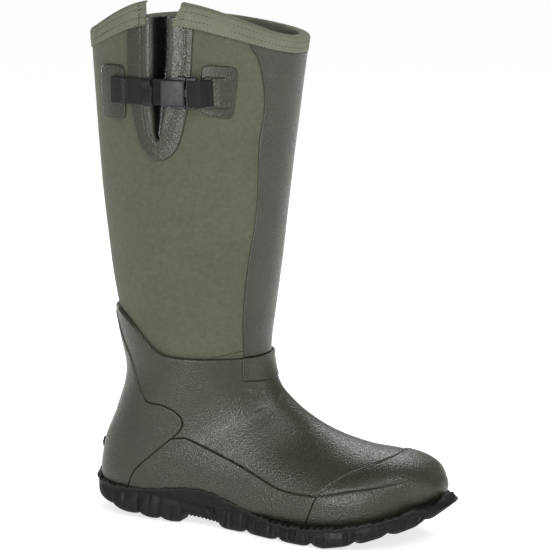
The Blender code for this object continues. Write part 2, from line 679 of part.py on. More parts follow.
def make_materials():
    return {
        "neoprene": material("neoprene_fabric", (0.125, 0.130, 0.085), 0.85),
        "lining": material("lining_knit", (0.05, 0.055, 0.045), 0.95),
        "rubber": material("green_rubber", (0.055, 0.062, 0.035), 0.45),
        "binding": material("binding_webbing", (0.20, 0.21, 0.14), 0.9),
        "webbing": material("strap_webbing", (0.025, 0.025, 0.028), 0.7),
        "buckle": material("buckle_plastic", (0.05, 0.05, 0.055), 0.35),
        "sole": material("sole_rubber", (0.018, 0.018, 0.017), 0.6),
        "foam": material("foam", (0.15, 0.15, 0.14), 0.9),
        "board": material("lasting_board", (0.35, 0.28, 0.18), 0.9),
        "steel": material("shank_steel", (0.5, 0.5, 0.5), 0.35, 1.0),
    }


def main():
    clear_scene()
    parts = new_collection("insulated_hunting_boot")
    cutters = new_collection("cutters", helper=True)
    mats = make_materials()
    make_bootie(parts, cutters, mats)
    make_insoles(parts, cutters, mats)
    make_foot_rubber(parts, cutters, mats)
    make_gusset(parts, cutters, mats)
    make_binding(parts, mats)
    make_patches(parts, cutters, mats)
    make_strap(parts, mats)
    make_buckle(parts, cutters, mats)
    make_sole(parts, cutters, mats)
    for obj in parts.objects:
        if obj.type == "MESH":
            obj.data.shade_smooth()
            obj.data.set_sharp_from_angle(angle=math.radians(40))


main()
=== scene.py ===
import math

import bmesh
import bpy
import numpy as np
from mathutils import Matrix, Vector
from mathutils.bvhtree import BVHTree


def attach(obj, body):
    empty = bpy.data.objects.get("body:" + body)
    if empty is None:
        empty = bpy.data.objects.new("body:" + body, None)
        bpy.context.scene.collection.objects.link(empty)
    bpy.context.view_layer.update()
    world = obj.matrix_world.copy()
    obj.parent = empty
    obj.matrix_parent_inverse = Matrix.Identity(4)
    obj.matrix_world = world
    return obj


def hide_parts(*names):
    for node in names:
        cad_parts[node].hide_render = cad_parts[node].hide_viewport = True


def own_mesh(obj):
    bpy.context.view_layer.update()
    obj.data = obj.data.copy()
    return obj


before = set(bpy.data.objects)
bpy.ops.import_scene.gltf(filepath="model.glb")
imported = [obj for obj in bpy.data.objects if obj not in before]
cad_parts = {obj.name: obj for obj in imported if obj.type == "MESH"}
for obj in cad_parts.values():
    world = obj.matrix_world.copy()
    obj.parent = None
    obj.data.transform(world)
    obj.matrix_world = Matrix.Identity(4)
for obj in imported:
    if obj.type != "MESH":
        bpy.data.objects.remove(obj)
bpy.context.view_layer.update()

# The boot's own tables are in millimetres, x from the back of the heel and z from the floor, as in
# the CAD source. An offset is measured outwards from the outer face of the insulated bootie.
MM = 0.001
MID_X = 146.5
MID_Y = -3.7

# Sections of the outer face of the bootie: front or top point (x, z), back or bottom point (x, z),
# outer and inner half width, height of the widest place, squareness of the two halves, shift to the
# inner side.
SECTIONS = np.array([
    (173, 372, -3, 372, 66, 64, 0.50, 2.0, 2.0, 0),  # 0 collar
    (167, 335, 0, 330, 64, 62, 0.50, 2.0, 2.0, 0),
    (158, 270, 5, 262, 59, 58, 0.50, 2.0, 2.0, 0),
    (151, 210, 12, 200, 54, 53, 0.50, 2.0, 2.0, 0),
    (145, 168, 21, 150, 49, 49, 0.50, 2.0, 2.0, 0),  # 4 ankle
    (142, 142, 28, 115, 45, 45, 0.50, 2.0, 2.1, 0),
    (144, 124, 19, 82, 43, 43, 0.48, 2.0, 2.2, 0),
    (150, 109, 8, 52, 41, 41, 0.46, 2.0, 2.5, 0),
    (159, 99, 10, 21, 40, 40, 0.44, 2.0, 3.2, 0),  # 8 instep and back of the heel
    (171, 89, 48, 15, 40, 39, 0.42, 2.0, 4.5, 0),
    (187, 79, 100, 15, 41, 40, 0.40, 2.0, 5.0, 1),
    (206, 71, 150, 12, 45, 43, 0.38, 2.0, 5.0, 2),
    (226, 66, 198, 10, 49, 46, 0.38, 2.0, 5.0, 3),  # 12 ball of the foot
    (245, 64, 232, 12, 47, 45, 0.40, 2.1, 4.5, 4),
    (262, 61, 256, 17, 40, 39, 0.42, 2.3, 4.0, 6),
    (275, 55, 272, 25, 29, 29, 0.44, 2.4, 3.0, 8),
    (283, 46, 282, 34, 14, 14, 0.45, 2.4, 2.4, 9),
], float)
TOE = len(SECTIONS) - 1
TIP = TOE + 1  # the closed end lies between sections TOE and TIP
TIP_LENGTH = 3.4
TIP_TURN = 0.45
BAND_END = 0.3
BOOTIE_SEAM = 5.0
# Rim above section 0: mean height at the front and back, tilt, extra on the outer and inner side,
# slant of the inner side, and the section where the shape has faded out.
RIM_RISE, RIM_TILT, RIM_OUTER, RIM_INNER, RIM_SLANT, RIM_FADE = 10.5, 1.5, 26.5, 9.5, 7.0, 2.0

# Outlines in the side view.
SLIT = [(75.5, 430), (104.5, 430), (103, 372), (97, 335), (88, 310), (81, 303)]
SLIT += [(76, 310), (73.5, 335), (74, 372)]
FOOT_TOP = [(0, 170), (26, 167), (36, 164), (48, 157), (60, 146), (70, 138.5), (84, 135), (120, 134.3)]
COUNTER = [(22, 162), (31, 144), (41, 128), (47, 115), (56, 100), (63, 96), (74, 95), (85, 90)]
COUNTER += [(90, 83), (87, 75), (71, 61), (57, 49), (46, 38), (38, 22)]
MUD_TOP = [(92, 70), (120, 60), (139, 53), (156, 46), (172, 40), (186, 38), (207, 38)]
MUD_ON_TOE = [(196, 37.5), (215, 41), (231, 45), (248, 48), (263, 51), (271, 53), (276, 57)]
TOE_LINE = [(199, 17), (204, 30), (208, 39), (214, 44.5), (221, 50.5), (229, 55.5), (243, 61)]
TOE_LINE += [(257, 65.5), (271, 70)]
SHIN_LINE = [(149, 430), (150, 381), (155, 366), (157, 344), (156, 325), (152, 300), (148, 250), (141, 205)]
SHIN_LINE += [(136, 165), (135, 135.6)]
GUSSET = [(57, 420), (56, 353), (58, 332), (62, 312), (68, 297), (81, 289), (94, 295), (101, 308)]
GUSSET += [(107, 332), (110, 355), (115, 420)]
REAR_PATCH = [(25, 360), (52, 361), (52, 319), (25, 318)]
FRONT_PATCH = [(118, 363), (143, 361), (138, 321), (115, 326)]

# Outsole: x, outer and inner half width, top of the wall.
SOLE = np.array([
    (-4.5, 0, 0, 28),
    (-2, 13, 13, 28),
    (3, 23, 23, 27),
    (14, 34, 33, 26),
    (32, 41, 40, 25),
    (60, 42, 40, 26),
    (85, 40, 38, 30),
    (108, 39, 37, 31),
    (125, 41, 38, 27),
    (150, 46, 42, 19),
    (175, 52, 47, 15),
    (200, 56, 51, 15),
    (225, 56, 52, 18),
    (245, 52, 49, 22),
    (265, 43, 44, 27),
    (280, 31, 36, 33),
    (291, 16, 26, 37),
    (298, 2, 14, 40),
    (299.5, -6, 6, 41),
], float)

LUG = 5.0
KICK_Z = 50.0
STRAP_Z, STRAP_HALF = 342.0, 10.0
BUCKLE_X, BUCKLE_LIFT = 98.0, 2.4
# Offsets of the underside of the rubber on the bootie, of the underside of the overlays, and of
# the inner face of the bootie.
RUBBER_UNDER, OVERLAY_UNDER, BOOTIE_INNER = 0.3, 2.6, -5.0


# ---------------------------------------------------------------- the boot's surface


def spline(rows, t):
    """Catmull-Rom curve through the rows, at row number t."""
    t = np.clip(np.asarray(t, float), 0, len(rows) - 1 - 1e-9)
    low = np.floor(t).astype(int)
    u = (t - low)[..., None]
    p1, p2 = rows[low], rows[low + 1]
    p0 = np.where((low > 0)[..., None], rows[np.maximum(low - 1, 0)], 2 * p1 - p2)
    last = len(rows) - 1
    p3 = np.where((low + 2 <= last)[..., None], rows[np.minimum(low + 2, last)], 2 * p2 - p1)
    cubic = (-p0 + 3 * p1 - 3 * p2 + p3) * u**3
    return 0.5 * (2 * p1 + (p2 - p0) * u + (2 * p0 - 5 * p1 + 4 * p2 - p3) * u * u + cubic)


def section_ring(t, phi):
    top_x, top_z, low_x, low_z, outer, inner, level, sq_top, sq_low, shift = np.moveaxis(
        spline(SECTIONS, t), -1, 0
    )
    c, s = np.cos(phi), np.sin(phi)
    square = np.where(c > 0, sq_top, sq_low)
    radius = (np.abs(c) ** square + np.abs(s) ** square) ** (-1 / square)
    along = level + np.where(c > 0, 1 - level, level) * c * radius
    x = low_x + (top_x - low_x) * along
    y = shift - np.where(s > 0, outer, inner) * s * radius
    z = low_z + (top_z - low_z) * along
    outside = RIM_OUTER * np.abs(s) ** np.where(c > 0, 2.2, 4.2)
    inside = (RIM_INNER - RIM_SLANT * c) * np.abs(s) ** np.where(c > 0, 1.0, 1.3)
    rise = RIM_RISE - RIM_TILT * c + np.where(s > 0, outside, inside)
    return np.stack([x, y, z + rise * np.clip(1 - t / RIM_FADE, 0, 1) ** 1.2], axis=-1)


TIP_AXIS = np.array([0.97, 0.1, -0.1]) / np.linalg.norm([0.97, 0.1, -0.1])
TIP_CENTRE = section_ring(np.full(72, float(TOE)), np.arange(72) * math.pi / 36).mean(axis=0)


def skin(t, phi):
    """Points of the bootie's outer face in mm; phi 0 is the front or top, pi/2 the outer side."""
    t, phi = np.broadcast_arrays(np.asarray(t, float), np.asarray(phi, float))
    ring = section_ring(np.minimum(t, TOE), phi)
    u = np.clip(t - TOE, 0, 1)[..., None]
    shrink = (1 - u) ** 2 + 2 * u * (1 - u) * (1 - TIP_TURN)
    ahead = (2 * u * (1 - u) + u * u) * TIP_LENGTH
    return TIP_CENTRE + (ring - TIP_CENTRE) * shrink + TIP_AXIS * ahead


def skin_normal(t, phi):
    step = 0.01
    along = skin(np.minimum(t + step, TIP), phi) - skin(np.maximum(t - step, 0), phi)
    around = skin(t, phi + step) - skin(t, phi - step)
    normal = np.cross(around, along)
    size = np.linalg.norm(normal, axis=-1, keepdims=True)
    return np.where(size > 1e-9, normal / np.maximum(size, 1e-12), TIP_AXIS)


def to_frame(points):
    return (np.asarray(points, float) - [MID_X, MID_Y, 0]) * MM


_near_t, _near_phi = np.meshgrid(np.linspace(0, 4, 121), np.linspace(0.3, 2.9, 79), indexing="ij")
_near = skin(_near_t, _near_phi)[..., [0, 2]].reshape(-1, 2)


def on_side(x, z):
    """Sections and angles of the outer side's points at x and z."""
    x, z = np.broadcast_arrays(np.asarray(x, float), np.asarray(z, float))
    shape, want = x.shape, np.stack([x.ravel(), z.ravel()], axis=-1)
    best = np.array([np.argmin(((_near - p) ** 2).sum(axis=1)) for p in want])
    t, phi = _near_t.ravel()[best], _near_phi.ravel()[best]
    for _ in range(8):
        here = skin(t, phi)[:, [0, 2]]
        d_t = (skin(t + 0.01, phi)[:, [0, 2]] - here) / 0.01
        d_phi = (skin(t, phi + 0.01)[:, [0, 2]] - here) / 0.01
        matrix = np.stack([d_t, d_phi], axis=-1)
        step = np.linalg.solve(matrix, (want - here)[..., None])[..., 0]
        t, phi = np.maximum(t + step[:, 0], 0.0), phi + step[:, 1]
    return t.reshape(shape), phi.reshape(shape)


def run_along(line):
    """Distance along the line at each of its points."""
    steps = np.linalg.norm(np.diff(line, axis=0), axis=-1)
    return np.concatenate([[0], np.cumsum(steps)])


def on_skin(t, phi, offset):
    return skin(t, phi) + skin_normal(t, phi) * np.asarray(offset, float)[..., None]


def on_strap(x, z, offset):
    t, phi = on_side(x, z)
    return on_skin(t, phi, np.broadcast_to(offset, t.shape))


def rows_between(first, last, spacing):
    """Section numbers from first to last, about that many mm apart along the boot."""
    t = np.linspace(first, last, 1500)
    lines = skin(t[:, None], np.array([[0, 0.5, 1, 1.5]]) * math.pi)
    steps = np.linalg.norm(np.diff(lines, axis=0), axis=-1).max(axis=1)
    length = np.concatenate([[0], np.cumsum(steps)])
    count = max(2, round(length[-1] / spacing) + 1)
    return np.interp(np.linspace(0, length[-1], count), length, t)


def curve(points, per=6):
    """Smooth line through the points."""
    rows = np.array(points, float)
    return spline(rows, np.linspace(0, len(rows) - 1, (len(rows) - 1) * per + 1))


def rounded(outline, radius, steps=8):
    """Outline with its corners rounded off."""
    points, count = [], len(outline)
    for i in range(count):
        corner = Vector(outline[i])
        before = (Vector(outline[i - 1]) - corner).normalized() * radius
        after = (Vector(outline[(i + 1) % count]) - corner).normalized() * radius
        for k in range(steps + 1):
            u = k / steps
            points.append(corner + before * (1 - u) ** 2 + after * u * u)
    return np.array(points)


def line_distance(points, line):
    """Distance in the side view from the points to an open line."""
    p = points[:, [0, 2]]
    best = np.full(len(p), 1e9)
    for a, b in zip(line[:-1], line[1:]):
        d = b - a
        u = np.clip(((p - a) @ d) / max(d @ d, 1e-12), 0, 1)
        best = np.minimum(best, ((p - a - u[:, None] * d) ** 2).sum(axis=1))
    return np.sqrt(best)


def inside_distance(points, outline):
    """Distance in the side view to a closed outline, positive inside it."""
    ring = np.concatenate([outline, outline[:1]])
    p = points[:, [0, 2]]
    inside = np.zeros(len(p), bool)
    for a, b in zip(ring[:-1], ring[1:]):
        crosses = (a[1] > p[:, 1]) != (b[1] > p[:, 1])
        rise = b[1] - a[1] if abs(b[1] - a[1]) > 1e-12 else 1e-12
        inside ^= crosses & (p[:, 0] < (b[0] - a[0]) * (p[:, 1] - a[1]) / rise + a[0])
    return np.where(inside, 1, -1) * line_distance(points, ring)


def smooth_step(value, low, high):
    u = np.clip((value - low) / (high - low), 0, 1)
    return u * u * (3 - 2 * u)


_waves = np.random.RandomState(11)
WAVES = [(_waves.normal(size=3), _waves.uniform(0, 6.3)) for _ in range(14)]


def unevenness(points, size):
    """Smooth random relief between about -1 and 1, with features of that size in mm."""
    total = np.zeros(len(points))
    for direction, phase in WAVES:
        total += np.sin(points @ (direction * 2.2 / size) + phase)
    return total / math.sqrt(len(WAVES))


# ---------------------------------------------------------------- meshes


def grid_faces(rows, cols, ring=False):
    """Faces between neighbouring points of a grid; ring joins its last column to its first."""
    return [
        (i * cols + j, (i + 1) * cols + j, (i + 1) * cols + (j + 1) % cols, i * cols + (j + 1) % cols)
        for i in range(rows - 1)
        for j in range(cols if ring else cols - 1)
    ]


def tube_faces(rows, cols):
    """Faces of a tube of rings, closed at both ends."""
    ends = [tuple(range(cols))[::-1], tuple((rows - 1) * cols + j for j in range(cols))]
    return grid_faces(rows, cols, ring=True) + ends


def add_object(name, data):
    obj = bpy.data.objects.new(name, data)
    bpy.context.scene.collection.objects.link(obj)
    return obj


def object_from(bm, name):
    mesh = bpy.data.meshes.new(name)
    bm.to_mesh(mesh)
    bm.free()
    return add_object(name, mesh)


def finish_mesh(name, verts, faces, mat, sharp=55, weave=None):
    """Object from points in metres; weave is each point's place on the cloth for its material, and on the pleat the
    fold's depth for its painted shade.
    """
    mesh = bpy.data.meshes.new(name)
    mesh.from_pydata([tuple(v) for v in verts], [], [tuple(f) for f in faces])
    if weave is not None:
        layer = mesh.attributes.new("weave", "FLOAT_VECTOR", "POINT")
        layer.data.foreach_set("vector", np.asarray(weave, np.float32).ravel())
    bm = bmesh.new()
    bm.from_mesh(mesh)
    bmesh.ops.dissolve_degenerate(bm, edges=bm.edges, dist=0.00002)
    bmesh.ops.recalc_face_normals(bm, faces=bm.faces)
    bm.to_mesh(mesh)
    bm.free()
    mesh.shade_smooth()
    mesh.set_sharp_from_angle(angle=math.radians(sharp))
    mesh.materials.append(mat)
    return add_object(name, mesh)


class SkinPatch:
    """Part of the boot's skin as polygons in section and angle, which can be cut along a field."""

    def __init__(self, rows, columns=240, span=(0, 2 * math.pi), at=0.0):
        phi = np.linspace(*span, columns + 1)
        t, phi = np.meshgrid(np.asarray(rows, float), phi, indexing="ij")
        self.t, self.phi = list(t.ravel()), list(phi.ravel())
        self.at = at  # offset at which the side-view outlines cut the piece
        self.faces = grid_faces(len(rows), columns + 1)

    def points(self):
        t, phi = np.array(self.t), np.array(self.phi)
        return skin(t, phi) + skin_normal(t, phi) * self.at

    def cut(self, field, levels, drop=True):
        """Splits the faces along the field's levels, and drops what is below the first."""
        value = list(field(self.points()))
        for number, level in enumerate(levels):
            value = [level + 0.01 if abs(v - level) < 0.01 else v for v in value]
            value = self.split(value, level, drop and number == 0)
        return self

    def split(self, value, level, drop_below):
        made, out, t, phi = {}, [], self.t, self.phi

        def crossing(a, b):
            key = (a, b) if a < b else (b, a)
            if key not in made:
                u = (level - value[a]) / (value[b] - value[a])
                made[key] = len(t)
                t.append(t[a] + (t[b] - t[a]) * u)
                phi.append(phi[a] + (phi[b] - phi[a]) * u)
                value.append(level)
            return made[key]

        for face in self.faces:
            high = [value[k] >= level for k in face]
            if all(high):
                out.append(face)
                continue
            if not any(high):
                if not drop_below:
                    out.append(face)
                continue
            above, below = [], []
            for k, a in enumerate(face):
                b = face[(k + 1) % len(face)]
                (above if value[a] >= level else below).append(a)
                if (value[a] >= level) != (value[b] >= level):
                    middle = crossing(a, b)
                    above.append(middle)
                    below.append(middle)
            out.append(tuple(above))
            if not drop_below:
                out.append(tuple(below))
        self.faces = out
        return value

    def solid(self, name, high, low, mat, sharp=55):
        """Closed piece between two offsets, each a number or a function of points and t."""
        used = np.unique(np.concatenate([np.array(f) for f in self.faces]))
        t, phi = np.array(self.t)[used], np.array(self.phi)[used]
        turned = np.round(np.mod(phi + 1e-7, 2 * math.pi), 6)
        pole = t > TIP - 1e-6
        keys = np.stack([np.round(t, 6), np.where(pole, 0, turned)], axis=1)
        _, first, back = np.unique(keys, axis=0, return_index=True, return_inverse=True)
        renumber = np.full(len(self.t), -1)
        renumber[used] = back.ravel()
        t, phi = t[first], phi[first]
        base, normal = skin(t, phi), skin_normal(t, phi)
        count = len(t)

        def layer(offset):
            seen = base + normal * self.at
            value = offset(seen, t) if callable(offset) else np.full(count, float(offset))
            return base + normal * value[:, None]

        verts = to_frame(np.concatenate([layer(high), layer(low)]))
        tops, edges = [], {}
        for face in self.faces:
            ring = [renumber[k] for k in face]
            ring = [k for n, k in enumerate(ring) if k != ring[n - 1]]
            if len(ring) < 3:
                continue
            tops.append(ring)
            for n, a in enumerate(ring):
                b = ring[(n + 1) % len(ring)]
                edges[(a, b)] = edges.get((a, b), 0) + 1
        faces = list(tops)
        faces += [[k + count for k in reversed(ring)] for ring in tops]
        faces += [(b, a, a + count, b + count) for a, b in edges if (b, a) not in edges]
        return finish_mesh(name, verts, faces, mat, sharp)


def lip(distance, radius):
    """Rounded edge: 0 at the outline, 1 from the radius inwards."""
    return np.sqrt(1 - (1 - np.clip(distance / radius, 0, 1)) ** 2)


def slab(name, outer, inner, mat, sharp=55, weave=None):
    """Closed piece between two grids of points in mm."""
    rows, cols = outer.shape[:2]
    count = rows * cols
    verts = to_frame(np.concatenate([outer.reshape(-1, 3), inner.reshape(-1, 3)]))
    faces = []
    for face in grid_faces(rows, cols):
        faces += [face, tuple(count + v for v in reversed(face))]
    last = (rows - 1) * cols
    for j in range(cols - 1):
        faces.append((j, j + 1, count + j + 1, count + j))
        faces.append((last + j + 1, last + j, count + last + j, count + last + j + 1))
    for i in range(rows - 1):
        for j in (0, cols - 1):
            a, b = i * cols + j, (i + 1) * cols + j
            faces.append((a, b, count + b, count + a))
    if weave is not None:
        weave = np.concatenate([weave, weave])
    return finish_mesh(name, verts, faces, mat, sharp, weave)


def stitches(name, middles, along, out, length, radius, mat):
    """Row of thread stitches, each a short bent capsule that dives into the cloth at both ends."""
    rings, sides = 7, 6
    u = np.linspace(-1, 1, rings)
    thick = radius * np.sqrt(np.clip(1 - (u * 0.97) ** 4, 0.02, 1))
    lift = radius * (0.7 - 1.2 * u**2)
    angle = np.arange(sides) * 2 * math.pi / sides
    verts, faces = [], []
    for m, a, o in zip(middles, along, out):
        a = a / np.linalg.norm(a)
        o = o - a * (a @ o)
        o = o / np.linalg.norm(o)
        side = np.cross(a, o)
        start = len(verts)
        for k in range(rings):
            centre = m + a * u[k] * length / 2 + o * lift[k]
            for w in angle:
                verts.append(centre + (o * math.cos(w) + side * math.sin(w)) * thick[k])
        for k in range(rings - 1):
            for j in range(sides):
                n = (j + 1) % sides
                p = start + k * sides
                faces.append((p + j, p + n, p + sides + n, p + sides + j))
        faces.append([start + j for j in range(sides)][::-1])
        faces.append([start + (rings - 1) * sides + j for j in range(sides)])
    return finish_mesh(name, to_frame(np.array(verts)), faces, mat, 80)


# ---------------------------------------------------------------- materials


class Paint:
    """Builds one procedural material round a Principled BSDF."""

    def __init__(self, name, roughness=0.6, **sockets):
        self.mat = bpy.data.materials.new(name)
        self.mat.use_nodes = True
        self.nodes, self.links = self.mat.node_tree.nodes, self.mat.node_tree.links
        self.shader = self.nodes["Principled BSDF"]
        self.shader.inputs["Roughness"].default_value = roughness
        for socket, value in sockets.items():
            self.shader.inputs[socket.replace("_", " ")].default_value = value
        self.place = self.nodes.new("ShaderNodeTexCoord").outputs["Object"]

    def node(self, kind, **values):
        made = self.nodes.new(kind)
        for key, value in values.items():
            setattr(made, key, value)
        return made

    def link(self, source, target):
        self.links.new(source, target)

    def attribute(self, name):
        return self.node("ShaderNodeAttribute", attribute_name=name).outputs["Vector"]

    def texture(self, kind, output, vector, inputs, **settings):
        made = self.node(kind, **settings)
        for socket, value in inputs.items():
            made.inputs[socket].default_value = value
        self.link(vector or self.place, made.inputs["Vector"])
        return made.outputs[output]

    def stretch(self, scale):
        return self.texture("ShaderNodeMapping", "Vector", None, {"Scale": scale})

    def noise(self, scale, detail=3.0, roughness=0.5, vector=None):
        inputs = {"Scale": scale, "Detail": detail, "Roughness": roughness}
        return self.texture("ShaderNodeTexNoise", "Fac", vector, inputs)

    def pebbles(self, scale):
        inputs = {"Scale": scale, "Smoothness": 0.7}
        return self.texture("ShaderNodeTexVoronoi", "Distance", None, inputs, feature="SMOOTH_F1")

    def wave(self, scale, direction, vector=None, distortion=0.0):
        inputs = {"Scale": scale, "Distortion": distortion}
        return self.texture("ShaderNodeTexWave", "Fac", vector, inputs, bands_direction=direction)

    def split(self, vector):
        made = self.node("ShaderNodeSeparateXYZ")
        self.link(vector, made.inputs[0])
        return made.outputs["X"]

    def math(self, operation, a, b=None, c=None):
        made = self.node("ShaderNodeMath", operation=operation)
        for socket, value in zip(made.inputs, (a, b, c)):
            if value is None:
                continue
            if isinstance(value, (int, float)):
                socket.default_value = value
            else:
                self.link(value, socket)
        return made.outputs[0]

    def ramp(self, factor, stops):
        made = self.node("ShaderNodeValToRGB")
        elements = made.color_ramp.elements
        while len(elements) < len(stops):
            elements.new(0.5)
        for element, (at, value) in zip(elements, stops):
            element.position = at
            element.color = (*value, 1) if isinstance(value, tuple) else (value, value, value, 1)
        self.link(factor, made.inputs["Fac"])
        return made.outputs["Color"]

    def mix(self, factor, a, b, kind="MIX"):
        made = self.node("ShaderNodeMix", data_type="RGBA", blend_type=kind)
        for socket, value in zip((made.inputs[0], made.inputs[6], made.inputs[7]), (factor, a, b)):
            if isinstance(value, tuple):
                socket.default_value = (*value, 1)
            elif isinstance(value, (int, float)):
                socket.default_value = value
            else:
                self.link(value, socket)
        return made.outputs[2]

    def times(self, a, b):
        return self.mix(1.0, a, b, "MULTIPLY")

    def patchy(self, low, high, *noise):
        """Colour or grey that wanders from low to high, with a noise's scale, detail and roughness."""
        return self.ramp(self.noise(*noise), [(0.3, low), (0.7, high)])

    def worn(self):
        """1 on outside edges, 0 in hollows, about a half on flat places."""
        return self.node("ShaderNodeNewGeometry").outputs["Pointiness"]

    def colour(self, source):
        self.link(source, self.shader.inputs["Base Color"])

    def rough(self, source):
        self.link(source, self.shader.inputs["Roughness"])

    def bump(self, *layers):
        """Bump layers as (height, depth in mm, strength), from the coarsest to the finest."""
        normal = None
        for height, depth, strength in layers:
            made = self.node("ShaderNodeBump")
            made.inputs["Strength"].default_value = strength
            made.inputs["Distance"].default_value = depth * MM
            self.link(height, made.inputs["Height"])
            if normal:
                self.link(normal, made.inputs["Normal"])
            normal = made.outputs["Normal"]
        self.link(normal, self.shader.inputs["Normal"])
        return self.mat


def shade(base, factor):
    return tuple(c * factor for c in base)


def rubber(name, base, roughness=0.32, deep=None):
    """Olive boot rubber: fine pebbled grain, cloudy colour, paler dust on raised edges, and, given deep, a painted
    shade that darkens the deepest folds.
    """
    paint = Paint(name, roughness, Specular_IOR_Level=0.36)
    tone = paint.patchy(shade(base, 0.88), shade(base, 1.12), 26, 4, 0.6)
    tone = paint.times(tone, paint.patchy(0.86, 1.14, 900, 2, 0.6))
    edge = paint.ramp(paint.worn(), [(0.53, 0.0), (0.65, 0.4)])
    tone = paint.mix(edge, tone, tuple(c * 1.25 + 0.01 for c in base))
    # Painted shade: the colour darkens along the deep ramp with the fold depth kept in the weave attribute.
    if deep:
        level = paint.math("MULTIPLY_ADD", paint.split(paint.attribute("weave")), 1 / 14, 1.0)
        tone = paint.times(tone, paint.ramp(level, deep))
    paint.colour(tone)
    paint.rough(paint.patchy(roughness - 0.08, roughness + 0.14, 420, 3, 0.7))
    cells, fine = paint.pebbles(860), paint.noise(2100, 2, 0.6)
    return paint.bump((paint.noise(70, 3), 0.8, 0.15), (cells, 0.32, 0.9), (fine, 0.14, 0.8))


def neoprene(name, base):
    """Knitted face of the foam: rows of tiny loops, matt, slightly mottled."""
    paint = Paint(name, 0.86, Sheen_Weight=0.18, Sheen_Roughness=0.45, Specular_IOR_Level=0.2)
    tone = paint.ramp(paint.noise(14, 5, 0.62), [(0.3, shade(base, 0.9)), (0.72, shade(base, 1.1))])
    rows = paint.wave(230, "Z", distortion=0.4)
    loops = paint.noise(1500, 2, 0.6, paint.stretch((1, 1, 1.7)))
    height = paint.math("MULTIPLY_ADD", rows, 0.45, loops)
    tone = paint.times(tone, paint.ramp(loops, [(0.25, 0.86), (0.75, 1.12)]))
    paint.colour(paint.times(tone, paint.patchy(0.9, 1.1, 260, 3, 0.6)))
    return paint.bump((paint.noise(45, 3), 1.0, 0.1), (height, 0.22, 0.6))


def woven(name, base, across, roughness=0.8, depth=0.25, rib=1.0):
    """Tape or webbing: ribs across it and finer threads along it, from the weave map in mm."""
    paint = Paint(name, roughness, Sheen_Weight=0.07, Sheen_Roughness=0.4, Specular_IOR_Level=0.18)
    place = paint.attribute("weave")
    ribs = paint.wave(0.314 / rib, "X", place)
    threads = paint.wave(0.314 / across, "Y", place)
    cloth = paint.math("ADD", ribs, paint.math("MULTIPLY", threads, 0.6))
    tone = paint.ramp(cloth, [(0.2, shade(base, 0.72)), (1.0, shade(base, 1.22))])
    paint.colour(paint.times(tone, paint.patchy(0.9, 1.08, 40, 3)))
    return paint.bump((cloth, depth, 0.8), (paint.noise(1600, 2), 0.12, 0.4))


def plastic(name, base, roughness=0.34):
    """Moulded plastic with faint flow marks, a fine spark texture and bright worn edges."""
    paint = Paint(name, roughness, Specular_IOR_Level=0.3)
    edge = paint.ramp(paint.worn(), [(0.51, 0.0), (0.62, 0.6)])
    tone = paint.patchy(shade(base, 0.85), shade(base, 1.15), 90, 3)
    paint.colour(paint.mix(edge, tone, shade(base, 2.3)))
    paint.rough(paint.patchy(roughness - 0.06, roughness + 0.1, 700, 2))
    return paint.bump((paint.noise(2600, 2), 0.05, 0.35))


def sole_rubber(name, base):
    """Black outsole rubber: matt, scuffed, with paler dust on its edges."""
    paint = Paint(name, 0.55, Specular_IOR_Level=0.16)
    tone = paint.ramp(paint.noise(55, 6, 0.7), [(0.35, shade(base, 0.8)), (0.75, shade(base, 1.5))])
    edge = paint.ramp(paint.worn(), [(0.51, 0.0), (0.6, 0.8)])
    paint.colour(paint.mix(edge, tone, (0.075, 0.075, 0.068)))
    paint.rough(paint.patchy(0.42, 0.68, 120, 4))
    return paint.bump((paint.noise(180, 4), 0.5, 0.35), (paint.noise(1300, 2), 0.15, 0.4))


def knit_lining(name, base):
    paint = Paint(name, 0.95, Sheen_Weight=0.3, Sheen_Roughness=0.5)
    ribs = paint.wave(330, "Z", distortion=1.0)
    fuzz = paint.noise(1100, 3, 0.7)
    paint.colour(paint.ramp(fuzz, [(0.3, shade(base, 0.75)), (0.7, shade(base, 1.3))]))
    return paint.bump((ribs, 0.3, 0.5), (fuzz, 0.3, 0.6))


def plain_grain(name, base, roughness, scale, metallic=0.0):
    paint = Paint(name, roughness, Metallic=metallic)
    spots = paint.noise(scale, 5, 0.7)
    paint.colour(paint.ramp(spots, [(0.3, shade(base, 0.75)), (0.7, shade(base, 1.2))]))
    return paint.bump((spots, 0.2, 0.5))


